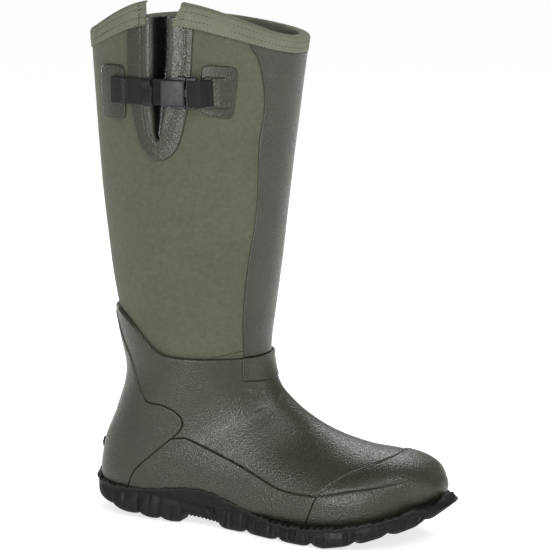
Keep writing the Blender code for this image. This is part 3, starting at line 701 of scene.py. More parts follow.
# Painted shade on the pleat: how light its rubber's colour is, from its deepest fold (darkest) to its outermost one.
PLEAT_PAINTED_SHADE = [(0.0, 0.06), (0.7, 0.1), (0.86, 0.25), (0.95, 0.6), (1.0, 1.0)]
MATS = {
    "rubber": rubber("boot_rubber", (0.044, 0.0475, 0.029)),
    "overlay": rubber("overlay_rubber", (0.041, 0.0445, 0.027)),
    "shin": rubber("shin_rubber", (0.050, 0.053, 0.037)),
    "pleat": rubber("gusset_rubber_painted_shade", (0.062, 0.065, 0.05), 0.3, PLEAT_PAINTED_SHADE),
    "neoprene": neoprene("neoprene_face", (0.124, 0.124, 0.085)),
    "binding": woven("collar_binding", (0.215, 0.220, 0.160), 1.1, 0.85, 0.3, 0.9),
    "thread": plain_grain("binding_thread", (0.05, 0.052, 0.037), 0.8, 900),
    "tack": plain_grain("bar_tack_thread", (0.14, 0.13, 0.155), 0.7, 900),
    "webbing": woven("strap_webbing", (0.0105, 0.0105, 0.0115), 1.6, 0.62, 0.25, 0.9),
    "tail": woven("strap_end_webbing", (0.016, 0.016, 0.017), 1.6, 0.34, 0.15, 0.9),
    "buckle": plastic("buckle_plastic", (0.017, 0.0165, 0.022), 0.5),
    "sole": sole_rubber("outsole_rubber", (0.0075, 0.0075, 0.007)),
    "lining": knit_lining("lining_knit", (0.050, 0.053, 0.040)),
    "foam": plain_grain("foam", (0.15, 0.15, 0.14), 0.9, 700),
    "board": plain_grain("fibre_board", (0.35, 0.28, 0.18), 0.85, 300),
    "steel": plain_grain("shank_steel", (0.45, 0.45, 0.46), 0.35, 200, 1.0),
}


def place(obj, body, slot, *nodes):
    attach(obj, body)
    if nodes:
        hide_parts(*nodes)
    return obj


# ---------------------------------------------------------------- bootie and lining

SLIT_LINE = rounded([(x, min(z, 440)) for x, z in SLIT], 1.5, 4)
# The cloth is cut back behind the end of the binding.
LOW_SLIT = [(x, min(z, 440)) for x, z in SLIT[1:]]
CLOTH_SLIT = rounded([(69.5, 440), *LOW_SLIT, (74.8, 396), (69.5, 398)], 1.2, 4)
SMOOTH_FOOT_TOP = curve(FOOT_TOP + [(200, 134)])
SMOOTH_COUNTER = curve(COUNTER)
SMOOTH_TOE = curve(TOE_LINE)
SMOOTH_MUD = curve(MUD_TOP)
MUD_GROOVE = curve(MUD_ON_TOE)
SMOOTH_SHIN = curve(SHIN_LINE)
FOOT_OUTLINE = np.concatenate([SMOOTH_FOOT_TOP, [(400, 134), (400, -40), (-60, -40), (-60, 170)]])
COUNTER_OUTLINE = np.concatenate([SMOOTH_COUNTER, [(30, 0), (-60, 0), (-60, 168), (10, 165)]])
TOE_OUTLINE = np.concatenate([SMOOTH_TOE, [(300, 120), (400, 72), (400, -20), (199, -20)]])
SHIN_OUTLINE = np.concatenate([SMOOTH_SHIN, [(135, 134.6), (300, 134.6), (300, 500), (149, 500)]])
GUSSET_OUTLINE = curve(GUSSET)
TAB_OUTLINE = rounded([(135, 134.6), (135, 116.5), (190, 114), (190, 134.6)], 2.0, 6)
GUARD_OUTLINE = np.concatenate([
    SMOOTH_MUD[:-4],
    [(x - 0.5, z) for x, z in SMOOTH_TOE[::-1] if z < 38],
    [(199, 0), (40, 0)],
    [(x + 0.6, z) for x, z in SMOOTH_COUNTER[::-1] if z < 69 and x < 90],
])


def beside_slit(points):
    """Distance to the slit, positive on the cloth; the inner side of the leg is far from it."""
    away = -inside_distance(points, CLOTH_SLIT)
    return np.where(points[:, 1] > 0, 60.0, away)


def make_bootie():
    def face(base, t):
        return 0.12 * unevenness(base, 42) - 0.9 * (1 - lip(beside_slit(base), 1.4)) - 0.1

    shaft = SkinPatch(rows_between(0, BOOTIE_SEAM, 2.4), 216)
    shaft.cut(beside_slit, (0.0, 0.7, 1.5))
    obj = shaft.solid("neoprene_shaft_cloth", face, BOOTIE_INNER, MATS["neoprene"])
    place(obj, "boot", "neoprene", "neoprene_shaft")
    foot = SkinPatch(rows_between(BOOTIE_SEAM + 0.02, TIP, 4), 120)

    def foot_face(base, t):
        return 0.05 * unevenness(base, 30)

    obj = foot.solid("neoprene_foot_cloth", foot_face, BOOTIE_INNER, MATS["neoprene"])
    place(obj, "boot", "neoprene", "neoprene_foot")

    lining = SkinPatch(rows_between(0, TIP, 3.5), 168)
    lining.cut(beside_slit, (0.0, 1.0))

    def knit(base, t):
        return -6.3 + 0.2 * unevenness(base, 25) * np.clip(t, 0, 1)

    obj = lining.solid("lining_knit_sock", -5.35, knit, MATS["lining"])
    place(obj, "boot", "lining", "lining_sock")


# ---------------------------------------------------------------- rubber over the foot


def off_overlays(points):
    """Distance outside the overlays in the side view: negative under one of them."""
    side = points[:, 1]
    counter = -inside_distance(points, COUNTER_OUTLINE)
    toe = -inside_distance(points, TOE_OUTLINE)
    guard = np.where(np.abs(side - MID_Y) > 12, -inside_distance(points, GUARD_OUTLINE), 40.0)
    tab = np.where(points[:, 0] > 130, -inside_distance(points, TAB_OUTLINE), 40.0)
    return np.minimum(np.minimum(counter, toe), np.minimum(guard, tab))


# Creases over the instep: middle (x, y, z), direction, half length, half width, depth.
CREASES = [
    ((142, -22, 106), (0.75, 0.55, -0.35), 8, 2.2, 0.9),
    ((149, -23, 93), (0.8, 0.3, 0.5), 8, 2.4, 0.8),
    ((159, -8, 101), (0.6, -0.75, 0.2), 9, 2.0, 0.8),
    ((139, 20, 105), (0.7, -0.6, -0.3), 8, 2.2, 0.7),
    ((151, 24, 92), (0.8, -0.35, 0.45), 7, 2.2, 0.6),
    ((128, -30, 118), (0.7, 0.5, -0.5), 7, 2.6, 0.5),
]


def creases(points):
    total = np.zeros(len(points))
    for middle, along, length, width, depth in CREASES:
        along = np.array(along) / np.linalg.norm(along)
        away = points - middle
        run = away @ along
        across = np.linalg.norm(away - run[:, None] * along, axis=1)
        ridge = np.exp(-((across / width) ** 2)) - 0.55 * np.exp(-((across / (2.2 * width)) ** 2))
        total += 1.6 * depth * ridge * np.exp(-((run / length) ** 2))
    return total


def make_foot_rubber():
    shell = SkinPatch(rows_between(3.4, TIP, 1.9), 256, at=2.3)
    shell.cut(lambda p: inside_distance(p, FOOT_OUTLINE), (0.0, 0.5, 1.1))
    shell.cut(off_overlays, (0.1, 0.5, 0.95), drop=False)

    def face(base, t):
        edge = lip(inside_distance(base, FOOT_OUTLINE), 1.1)
        flush = 0.85 * smooth_step(off_overlays(base), 0.1, 0.95)
        relief = 0.22 * unevenness(base, 34) + creases(base)
        return 0.9 + 1.4 * edge + flush * edge + relief * smooth_step(off_overlays(base), 0, 8)

    obj = shell.solid("foot_shell_rubber", face, RUBBER_UNDER, MATS["rubber"])
    place(obj, "boot", "rubber", "foot_shell")

    def overlay(name, node, first, last, outline, side=None, extra=None, span=(0, 2 * math.pi), cols=240):
        def field(p):
            value = inside_distance(p, outline)
            if side:
                value = np.minimum(value, side * (p[:, 1] - MID_Y) - 12)
            return value

        def top(base, t):
            rise = 0.55 + 0.85 * lip(field(base), 0.7)
            rise = rise + 0.1 * unevenness(base, 30)
            return OVERLAY_UNDER + rise + (extra(base) if extra else 0)

        patch = SkinPatch(rows_between(first, last, 1.5), cols, span, at=3.8)
        patch.cut(field, (0.0, 0.3, 0.7))
        if extra:
            patch.cut(lambda p: line_distance(p, MUD_GROOVE), (0.45, 1.1), drop=False)
        place(patch.solid(name, top, OVERLAY_UNDER, MATS["overlay"]), "boot", "rubber", node)

    def toe_grooves(base):
        fade = smooth_step(base[:, 0], 200, 214) * (1 - smooth_step(base[:, 0], 262, 276))
        away = line_distance(base, MUD_GROOVE)
        groove = -0.7 * np.exp(-((away / 0.8) ** 2)) * fade
        below = base[:, 2] < np.interp(base[:, 0], MUD_GROOVE[:, 0], MUD_GROOVE[:, 1])
        return np.where(base[:, 1] < 60, groove + 0.35 * below * fade * smooth_step(away, 0, 2), 0)

    overlay("heel_counter_rubber", "heel_counter", 3.6, 9.4, COUNTER_OUTLINE, span=(1.0, 5.3))
    overlay("toe_cap_rubber", "toe_cap", 10, TIP, TOE_OUTLINE, extra=toe_grooves)
    overlay("outer_mudguard_rubber", "outer_mudguard", 6, 13, GUARD_OUTLINE, -1, span=(0.8, 2.9), cols=150)
    overlay("inner_mudguard_rubber", "inner_mudguard", 6, 13, GUARD_OUTLINE, 1, span=(3.4, 5.5), cols=150)
    overlay("shin_tab_rubber", "shin_guard_tab", 4.4, 7.5, TAB_OUTLINE, span=(-1.6, 1.6), cols=140)


# ---------------------------------------------------------------- rubber on the shaft


def make_shaft_rubber():
    shin = SkinPatch(rows_between(BAND_END, 6, 1.9), 150, (-1.75, 1.75), at=1.5)

    def shin_field(p):
        return inside_distance(p, SHIN_OUTLINE)

    shin.cut(shin_field, (0.0, 0.4, 0.9))

    def shin_top(base, t):
        return 0.5 + 1.1 * lip(shin_field(base), 0.9) + 0.12 * unevenness(base, 36)

    obj = shin.solid("shin_panel_rubber", shin_top, RUBBER_UNDER, MATS["shin"])
    place(obj, "boot", "rubber", "shin_panel")

    def strip(p):
        return np.minimum(inside_distance(p, GUSSET_OUTLINE), -inside_distance(p, SLIT_LINE))

    def strip_top(base, t):
        inner = -inside_distance(base, SLIT_LINE)
        outer = inside_distance(base, GUSSET_OUTLINE)
        ridge = 0.4 * np.exp(-(((inner - 3.2) / 0.7) ** 2)) - 0.35 * np.exp(-(((inner - 4.6) / 0.6) ** 2))
        return 0.45 + 1.15 * lip(np.minimum(inner + 0.7, outer), 0.9) + ridge + 0.06 * unevenness(base, 14)

    cover = SkinPatch(rows_between(BAND_END, 2.7, 1.3), 190, (0.6, 2.3), at=1.5)
    cover.cut(strip, (0.0, 0.4, 0.9))
    obj = cover.solid("gusset_overlay_rubber", strip_top, RUBBER_UNDER, MATS["overlay"])
    place(obj, "boot", "rubber", "gusset_overlay")

    def patch(name, node, outline, span, extra=None):
        line = rounded(outline, 6.5, 8)
        piece = SkinPatch(rows_between(0.6, 1.8, 0.8), 130, span, at=1.5)
        piece.cut(lambda p: inside_distance(p, line), (0.0, 0.35, 0.9))

        def top(base, t):
            edge = 0.5 + 1.1 * lip(inside_distance(base, line), 0.9)
            return edge + (extra(base) if extra else 0) + 0.05 * unevenness(base, 10)

        place(piece.solid(name, top, RUBBER_UNDER, MATS["overlay"]), "boot", "rubber", node)

    def over_webbing(base):
        x, off = base[:, 0], np.abs(base[:, 2] - STRAP_Z)
        tongue = smooth_step(x, 124.4, 126.0) * (1 - smooth_step(x, 130, 142))
        tongue = tongue * (1 - smooth_step(off, 8.5, 12))
        ribs = np.exp(-(((off - 10.6) / 1.3) ** 2)) * smooth_step(x, 117, 121)
        return 2.1 * tongue + 1.5 * (ribs * (1 - smooth_step(x, 132, 141)))

    patch("rear_patch_rubber", "rear_strap_patch", REAR_PATCH, (1.9, 3.1))
    patch("front_patch_rubber", "front_strap_patch", FRONT_PATCH, (0.5, 1.5), over_webbing)


def make_pleat():
    """Bellows: a roll along the slit's rear edge, a deep fold, and a broad front fold with a lip."""
    section = [(-0.11, 1.75), (-0.06, 2.5), (0.02, 2.9), (0.1, 2.5), (0.15, 0.9), (0.18, -2), (0.22, -7)]
    section += [(0.3, -12.5), (0.4, -14), (0.5, -13), (0.555, -9.0), (0.57, -5.5), (0.585, -2.8)]
    section += [(0.61, -0.6), (0.65, 0.7), (0.71, 1.4), (0.8, 1.9), (0.9, 1.8), (1.015, 1.35)]
    line = curve(section, 7)
    heights = np.linspace(397.5, 306, 90)
    edges = [sorted((z, x) for x, z in SLIT if side * (x - 81) >= 0) for side in (-1, 1)]
    low, high = (np.interp(heights, *zip(*edge)) for edge in edges)
    width = high - low
    deep = np.interp(heights, (303, 330, 363), (0.15, 0.5, 1.0))
    x = low[:, None] + 0.3 + line[None, :, 0] * (width[:, None] - 0.6)
    sink = np.where(line[:, 1] < -1.4, line[:, 1] + 1.4, 0.0)[None, :] * deep[:, None]
    raised = np.interp(heights, (303, 322), (0.35, 1.0))[:, None]
    level = np.maximum(line[:, 1], -1.4)[None, :] * raised
    z = np.broadcast_to(heights[:, None], x.shape)
    t, phi = on_side(x, z)
    grid = on_skin(t, phi, level + sink)
    grid += 0.12 * unevenness(grid.reshape(-1, 3), 9).reshape(x.shape)[..., None] * [0, 1, 0]
    down = np.gradient(grid, axis=0)
    across = np.gradient(grid, axis=1)
    normal = np.cross(down, across)
    normal /= np.linalg.norm(normal, axis=-1, keepdims=True)
    if normal[:, 0, 1].mean() > 0:
        normal = -normal
    # The fold's depth goes into the weave attribute; the pleat's material darkens with it as painted shade.
    depth = np.stack([0 * x + line[:, 1], 0 * x, 0 * x], axis=-1).reshape(-1, 3)
    obj = slab("gusset_pleat_rubber", grid, grid - normal * 0.8, MATS["pleat"], 70, depth)
    place(obj, "boot", "rubber", "gusset_pleat")


# ---------------------------------------------------------------- binding


def make_binding():
    """Tape folded over the rim, and the thread that holds it."""
    first = float(on_side(103.6, 400)[1]) + 2 * math.pi
    last = float(on_side(75.4, 400)[1])
    slant = (float(on_side(96.6, 392)[1]) + 2 * math.pi - first) / BAND_END
    share = np.linspace(0, 1, 420)

    def turned(t, offset=0.0):
        """Angles along the tape at that section: its front end slants back over the pleat."""
        start = first + slant * t
        end = last + 0.11 * np.clip(-offset / 7.9, 0, 1)
        return start + (end - start) * share

    def over_fold(phi, share):
        """Extra lift of the outer side: over the pleat at the ends, and none where no rubber lies below."""
        ends = 1.3 * (1 - smooth_step(share, 0.0, 0.035)) + 0.9 * smooth_step(share, 0.99, 1.0)
        x = skin(np.zeros(len(phi)), phi)[:, 0]
        return ends - 1.1 * (1 - smooth_step(x, 44, 58))

    radius, top = 3.4, 1.6
    arc = np.linspace(0, math.pi / 2, 8)
    leg = (BAND_END - 0.01, 0.07)
    outer_t = np.concatenate([np.linspace(*leg, 14), np.zeros(16), np.linspace(*leg[::-1], 8)])
    outside = [(1.9, 0)] * 14
    outside += [(1.9 - radius + radius * math.cos(a), top - radius + radius * math.sin(a)) for a in arc]
    outside += [(-7.9 + radius - radius * math.sin(a), top - radius + radius * math.cos(a)) for a in arc]
    outside += [(-7.9, 0)] * 8
    outside = np.array(outside)
    height = np.interp(outer_t, (0, BAND_END), (0, 1))
    tuck = sum(np.exp(-(((height[:14] - h) / 0.045) ** 2)) for h in (0.25, 0.6, 0.95))
    centre = outside.mean(axis=0)
    columns = []
    for k, (t, (offset, lift)) in enumerate(zip(outer_t, outside)):
        phi = turned(t, offset)
        wave = 0.16 * unevenness(skin(t, phi), 16)
        sunk = 0.32 * tuck[k] if k < 14 else 0.0
        out = offset - sunk + wave + over_fold(phi, share) if offset > 0 else np.full(len(phi), offset)
        columns.append(on_skin(np.full(len(phi), t), phi, out) + [0, 0, lift])
    outer = np.stack(columns, axis=1)
    inner = []
    for k, (t, (offset, lift)) in enumerate(zip(outer_t, outside)):
        toward = np.array([centre[0] - offset, centre[1] - lift])
        flat = k < 14 or k >= 30
        move = np.array([-1.45 if k < 14 else 1.2, 0]) if flat else toward / np.linalg.norm(toward) * 1.3
        phi = turned(t, offset)
        out = offset + move[0] + (over_fold(phi, share) if offset > 0 else 0.0 * share)
        if k < 14:
            out = np.maximum(out, 0.4)
        inner.append(on_skin(np.full(len(phi), t), phi, out) + [0, 0, lift + move[1]])
    inner = np.stack(inner, axis=1)
    along, across = np.meshgrid(run_along(outer[:, 5]), run_along(outer[50]), indexing="ij")
    flat = np.stack([along, across, 0 * along], axis=-1).reshape(-1, 3)
    obj = slab("collar_binding_tape", outer, inner, MATS["binding"], 50, flat)
    place(obj, "boot", "binding", "collar_binding")

    middles, directions, outs = [], [], []

    def stitch_row(t, pitch, offset):
        turn = np.linspace(first + slant * t - 0.02, last + 0.012, 2400)
        line = on_skin(np.full(2400, t), turn, 0.0)
        run = run_along(line)
        at = np.interp(np.arange(pitch / 2, run[-1], pitch), run, turn)
        done = (first + slant * t - at) / (first - last)
        middle = on_skin(np.full(len(at), t), at, offset + over_fold(at, done))
        ahead = skin(np.full(len(at), t), at + 0.005) - skin(np.full(len(at), t), at - 0.005)
        middles.extend(middle)
        directions.extend(ahead)
        outs.extend(skin_normal(np.full(len(at), t), at))

    for share, pitch in ((0.25, 3.0), (0.6, 3.0), (0.94, 2.6)):
        stitch_row(share * BAND_END, pitch, 1.9 - 0.36)
    for front in (True, False):
        for t in np.linspace(0.03, 0.27, 6):
            phi_end = first + slant * t - 0.06 if front else last + 0.075
            middles.append(on_skin(np.array([t]), np.array([phi_end]), 2.85 if front else 2.1)[0])
            lean = slant * 0.01 if front else 0
            directions.append(skin(t + 0.01, phi_end + lean) - skin(t - 0.01, phi_end))
            outs.append(skin_normal(t, phi_end))
    obj = stitches("collar_binding_thread", middles, directions, outs, 1.9, 0.24, MATS["thread"])
    place(obj, "boot", "binding")


# ---------------------------------------------------------------- strap and buckle


def ribbon(name, path, half, thick, mat, vertical=None):
    """Webbing swept along a path of (x, offset), or of (z, offset) about the x in vertical."""
    path = curve(path, 10)
    run = run_along(path)
    count = max(int(run[-1] / 0.45), 8)
    at = np.linspace(0, run[-1], count)
    path = np.stack([np.interp(at, run, path[:, k]) for k in (0, 1)], axis=1)
    ahead = np.gradient(path, axis=0)
    ahead /= np.linalg.norm(ahead, axis=1, keepdims=True)
    side = np.stack([-ahead[:, 1], ahead[:, 0]], axis=1)
    wide = np.linspace(-half + thick / 2, half - thick / 2, 40)
    arc = np.linspace(-math.pi / 2, math.pi / 2, 7)[1:-1]
    ring = [(y, thick / 2) for y in wide]
    ring += [(half - thick / 2 + math.cos(a) * thick / 2, -math.sin(a) * thick / 2) for a in arc]
    ring += [(y, -thick / 2) for y in wide[::-1]]
    ring += [(-half + thick / 2 - math.cos(a) * thick / 2, math.sin(a) * thick / 2) for a in arc]
    ring = np.array(ring)
    across, up = ring[:, 0], ring[:, 1]
    twill = 0.07 * np.sin(at[:, None] * 3.5 + np.sign(np.sin(across * 1.9))[None, :] * 1.6)
    height = up[None, :] + twill * np.sign(up)[None, :] * (np.abs(across) < half - 1)[None, :]
    first = path[:, 0, None] + side[:, 0, None] * height
    offset = path[:, 1, None] + side[:, 1, None] * height
    other = np.broadcast_to(across[None, :], first.shape)
    if vertical is None:
        t, phi = on_side(first, STRAP_Z + other)
    else:
        t, phi = on_side(vertical + other, first)
    points = on_skin(t, phi, offset)
    flat = np.stack(np.broadcast_arrays(at[:, None], across[None, :], 0 * first), axis=-1)
    verts, faces = to_frame(points.reshape(-1, 3)), tube_faces(*first.shape)
    return finish_mesh(name, verts, faces, mat, 60, flat.reshape(-1, 3))


def buckle_matrix():
    """Frame of the buckle in metres: x along the strap to the front, y across it upwards, z outwards."""
    t, phi = on_side(BUCKLE_X, STRAP_Z)
    out = Vector(skin_normal(t, phi))
    out.z = 0.0
    out.normalize()
    up = Vector((0, 0, 1))
    along = up.cross(out)
    place_at = Matrix.Translation(Vector(to_frame(on_strap(BUCKLE_X, STRAP_Z, BUCKLE_LIFT))))
    return place_at @ Matrix((along, up, out)).transposed().to_4x4()


def block(name, low, high, bevel=0.0, segments=3):
    """Box in the buckle's frame in mm, its edges rounded."""
    low, high = Vector(low) * MM, Vector(high) * MM
    bm = bmesh.new()
    size = Matrix.Diagonal((*(high - low), 1))
    bmesh.ops.create_cube(bm, size=1, matrix=Matrix.Translation((low + high) / 2) @ size)
    if bevel:
        bmesh.ops.bevel(
            bm, geom=bm.edges[:], offset=bevel * MM, segments=segments, profile=0.5, affect="EDGES"
        )
    return object_from(bm, name)


def outline_block(name, outline, low, high):
    bm = bmesh.new()
    face = bm.faces.new([bm.verts.new(Vector((x, y, low)) * MM) for x, y in outline])
    moved = bmesh.ops.extrude_face_region(bm, geom=[face])["geom"]
    verts = [v for v in moved if isinstance(v, bmesh.types.BMVert)]
    bmesh.ops.translate(bm, verts=verts, vec=(0, 0, (high - low) * MM))
    bmesh.ops.recalc_face_normals(bm, faces=bm.faces)
    return object_from(bm, name)


def carve(obj, cutters, joins=(), bevel=0.35):
    """Applies the booleans, rounds the edges that they leave, and moves the piece to the buckle."""
    for operation, tools in (("UNION", joins), ("DIFFERENCE", cutters)):
        for tool in tools:
            mod = obj.modifiers.new("cut", "BOOLEAN")
            mod.operation, mod.object, mod.solver = operation, tool, "EXACT"
    round_off = obj.modifiers.new("round", "BEVEL")
    round_off.width, round_off.segments = bevel * MM, 3
    round_off.limit_method, round_off.angle_limit = "ANGLE", math.radians(35)
    round_off.harden_normals = False
    graph = bpy.context.evaluated_depsgraph_get()
    mesh = bpy.data.meshes.new_from_object(obj.evaluated_get(graph))
    obj.modifiers.clear()
    obj.data = mesh
    for tool in [*cutters, *joins]:
        bpy.data.objects.remove(tool, do_unlink=True)
    mesh.transform(buckle_matrix())
    mesh.shade_smooth()
    mesh.set_sharp_from_angle(angle=math.radians(40))
    mesh.materials.clear()
    mesh.materials.append(MATS["buckle"])
    return obj


def make_buckle():
    housing = block("buckle_housing_moulding", (-10, -10, 0), (9, 10, 7), 1.5, 4)
    cuts = [block("cavity", (-3.5, -12, 2.0), (12, 12, 5.2))]
    cuts += [block("slot", (-8.4, -8.6, -2), (-6.0, 8.6, 5.6))]
    cuts += [block("line", (7.6, -11, 6.8), (8.0, 11, 7.6))]
    carve(housing, cuts, bevel=0.28)
    place(housing, "boot", "buckle", "buckle_housing")
    base = block("buckle_base_moulding", (9.4, -12, 1.0), (18, 12, 4.8), 0.9)
    tongue = block("tongue", (-1, -3.0, 2.4), (10.2, 3.0, 4.8), 0.5)
    carve(base, [block("slot", (12.6, -9.6, -2), (15.2, 9.6, 9))], [tongue], bevel=0.25)
    place(base, "buckle_male", "buckle", "buckle_base")
    for name, side, body in (("prong_upper", 1, "upper_prong"), ("prong_lower", -1, "lower_prong")):
        line = [(9.1, 8.6), (9.1, 11.6), (6.5, 12.3), (4, 12.4), (1, 11.9), (-1.5, 11.2)]
        line += [(-2.5, 9.9), (-1, 8.8)]
        prong = outline_block(name + "_moulding", [(x, side * y) for x, y in line], 2.4, 4.8)
        at = side * 12.9
        grips = [block("groove", (x, at - 1, 0), (x + 0.5, at + 1, 8)) for x in (2.2, 3.8, 5.4)]
        carve(prong, grips, bevel=0.3)
        place(prong, body, "buckle", name)


def make_strap():
    rear = [(59, 2.4), (50, 2.4), (43, 2.45), (41.6, 2.75), (41.2, 3.25), (41.7, 3.8), (43, 4.1), (50, 4.1)]
    rear += [(58, 4.0), (62, 3.2), (66, 2.9), (72, 2.9), (82, 2.8), (87, 2.3), (91.5, 1.7)]
    obj = ribbon("rear_strap_webbing", rear, STRAP_HALF, 1.35, MATS["webbing"])
    place(obj, "boot", "webbing", "rear_strap")
    tail = [(349.8, 4.2), (351.8, 5.6), (351.9, 7.4), (349.8, 8.4), (347.4, 7.4), (346.2, 5.7), (344.2, 5.2)]
    tail += [(340, 6.4), (335.5, 6.8), (332.4, 5.6), (331.6, 4.4)]
    obj = ribbon("strap_tail_webbing", tail, 3.7, 1.1, MATS["tail"], vertical=77)
    place(obj, "boot", "webbing", "strap_tail")
    front = [(108.7, 8.2), (109.4, 8.9), (112, 9.6), (115, 10.0), (117.2, 9.3), (118.9, 7.2), (120.6, 4.9)]
    front += [(122.6, 3.3), (126.8, 2.2)]
    obj = ribbon("front_strap_webbing", front, STRAP_HALF, 1.35, MATS["webbing"])
    place(obj, "boot", "webbing", "front_strap")
    along = buckle_matrix().to_3x3() @ Vector((1, 0, 0))
    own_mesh(obj)

    middles, directions, outs = [], [], []
    for k, z in enumerate(np.arange(STRAP_Z - 8.4, STRAP_Z + 8.6, 1.05)):
        x = 54.8 + (0.75 if k % 2 else -0.75)
        a, b = on_strap(x - 0.75, z - 0.3, 4.85), on_strap(x + 0.75, z + 0.3, 4.85)
        middles.append((a + b) / 2)
        directions.append(b - a)
        outs.append(skin_normal(*on_side(x, z)))
    obj = stitches("rear_strap_bar_tack", middles, directions, outs, 1.7, 0.22, MATS["tack"])
    place(obj, "boot", "webbing")


# ---------------------------------------------------------------- sole

# Lobes of the tread along each side, as first and last x; the arch between heel and forefoot has none.
HEEL_LOBES = [(-14, 24), (24, 50), (50, 68.5), (68.5, 89)]
FRONT_LOBES = [(119, 145), (145, 175.5), (175.5, 205), (205, 240), (240, 263), (263, 285)]
FRONT_LOBES += [(285, 300), (300, 312)]
INNER_BARS = [(18, 34), (42, 58), (132, 148), (154, 169), (175, 190), (196, 211), (217, 232), (240, 253)]
# Flutes in the wall: middle, half width, depth, lowest and highest share of the wall.
FLUTES = [(37, 1.0, 0.9, 0.1, 0.8), (52, 2.2, 1.0, 0.0, 0.7), (60, 0.8, 0.8, 0.1, 0.9)]
FLUTES += [(79, 1.0, 0.9, 0, 0.5), (113, 3.2, 1.5, 0.25, 0.9), (127, 1.2, 1.0, 0, 0.8)]
FLUTES += [(133, 1.4, 1.3, 0.05, 0.75), (146, 3.0, 1.5, 0.1, 0.8), (158, 2.4, 1.4, 0.1, 0.75)]
FLUTES += [(170, 1.2, 1.2, 0, 0.8), (181, 3.2, 1.6, 0.15, 0.85), (190, 2.6, 1.6, 0.15, 0.85), (203, 1.2, 1.2, 0, 0.7)]
FLUTES += [(214, 3.4, 1.3, 0.1, 0.6), (234, 1.4, 1.2, 0, 0.7), (243, 2.4, 1.3, 0.1, 0.6)]
FLUTES += [(260, 2.2, 1.2, 0.1, 0.6), (279, 2.0, 1.0, 0.1, 0.6)]
# Underside of the tread by x.
UNDER = [(-5, 21.5), (-1, 17.5), (6, 13), (14, 9), (24, 5.7), (36, 3.6), (48, 2.2), (60, 1.2)]
UNDER += [(70, 0.3), (77, 0), (140, 0), (215, 0), (228, 2.5), (240, 5), (250, 8.5), (260, 12)]
UNDER += [(270, 14.5), (280, 18.5), (290, 24), (296, 28.5), (300, 32)]


def smooth(value, low, high):
    return float(smooth_step(value, low, high))


def lobe(x, spans):
    """Place within its lobe: 0 in the middle, 1 at either end and between lobes."""
    for low, high in spans:
        if low <= x <= high:
            return abs(2 * (x - low) / (high - low) - 1)
    return 1.0


def window(x, spans, ramp):
    """1 within the spans, 0 between them."""
    best = np.zeros_like(np.asarray(x, float))
    for low, high in spans:
        begun = smooth_step(x, low - ramp / 2, low + ramp / 2)
        best = np.maximum(best, begun * (1 - smooth_step(x, high - ramp / 2, high + ramp / 2)))
    return best


def foot_halves():
    """Function that gives the foot's outer and inner y at x and z, or None."""
    t, phi = np.meshgrid(np.linspace(4, TIP, 260), np.linspace(0, 2 * math.pi, 160), indexing="ij")
    grid = on_skin(t, phi, np.full(t.shape, 3.3))
    tree = BVHTree.FromPolygons([tuple(p) for p in grid.reshape(-1, 3)], grid_faces(*t.shape))

    def half(x, z, sign):
        hit = tree.ray_cast(Vector((x, sign * 150, z)), Vector((0, -sign, 0)))[0]
        return hit.y if hit else None

    return half


def sole_stations():
    fine = spline(SOLE, np.linspace(0, len(SOLE) - 1, 3000))
    step = np.abs(np.diff(fine[:, :3], axis=0)).max(axis=1)
    run = np.concatenate([[0], np.cumsum(step)])
    at = np.linspace(0, run[-1], 330)
    return np.stack([np.interp(at, run, fine[:, k]) for k in range(4)], axis=1)


def make_outsole():
    half = foot_halves()
    rows = sole_stations()
    under = np.interp(rows[:, 0], *zip(*UNDER))
    middle = (rows[:, 2] - rows[:, 1]) / 2
    profiles = []
    for sign, column in ((-1, 1), (1, 2)):
        edge = sign * rows[:, column]
        tangent = np.stack([np.gradient(rows[:, 0]), np.gradient(edge)], axis=1)
        tangent /= np.maximum(np.linalg.norm(tangent, axis=1, keepdims=True), 1e-9)
        normal = np.stack([-sign * tangent[:, 1], sign * tangent[:, 0]], axis=1)
        side = (rows, under, middle, edge, normal, sign, half)
        profiles.append([sole_profile(k, *side) for k in range(len(rows))])
    outer, inner = np.array(profiles[0]), np.array(profiles[1])
    inner[:, 0] = outer[:, 0] = (outer[:, 0] + inner[:, 0]) / 2
    inner[:, -1] = outer[:, -1] = (outer[:, -1] + inner[:, -1]) / 2
    ring = np.concatenate([outer, inner[:, -2:0:-1]], axis=1)
    verts, faces = to_frame(ring.reshape(-1, 3)), tube_faces(*ring.shape[:2])
    obj = finish_mesh("outsole_rubber_sole", verts, faces, MATS["sole"], 38)
    place(obj, "boot", "sole", "outsole")


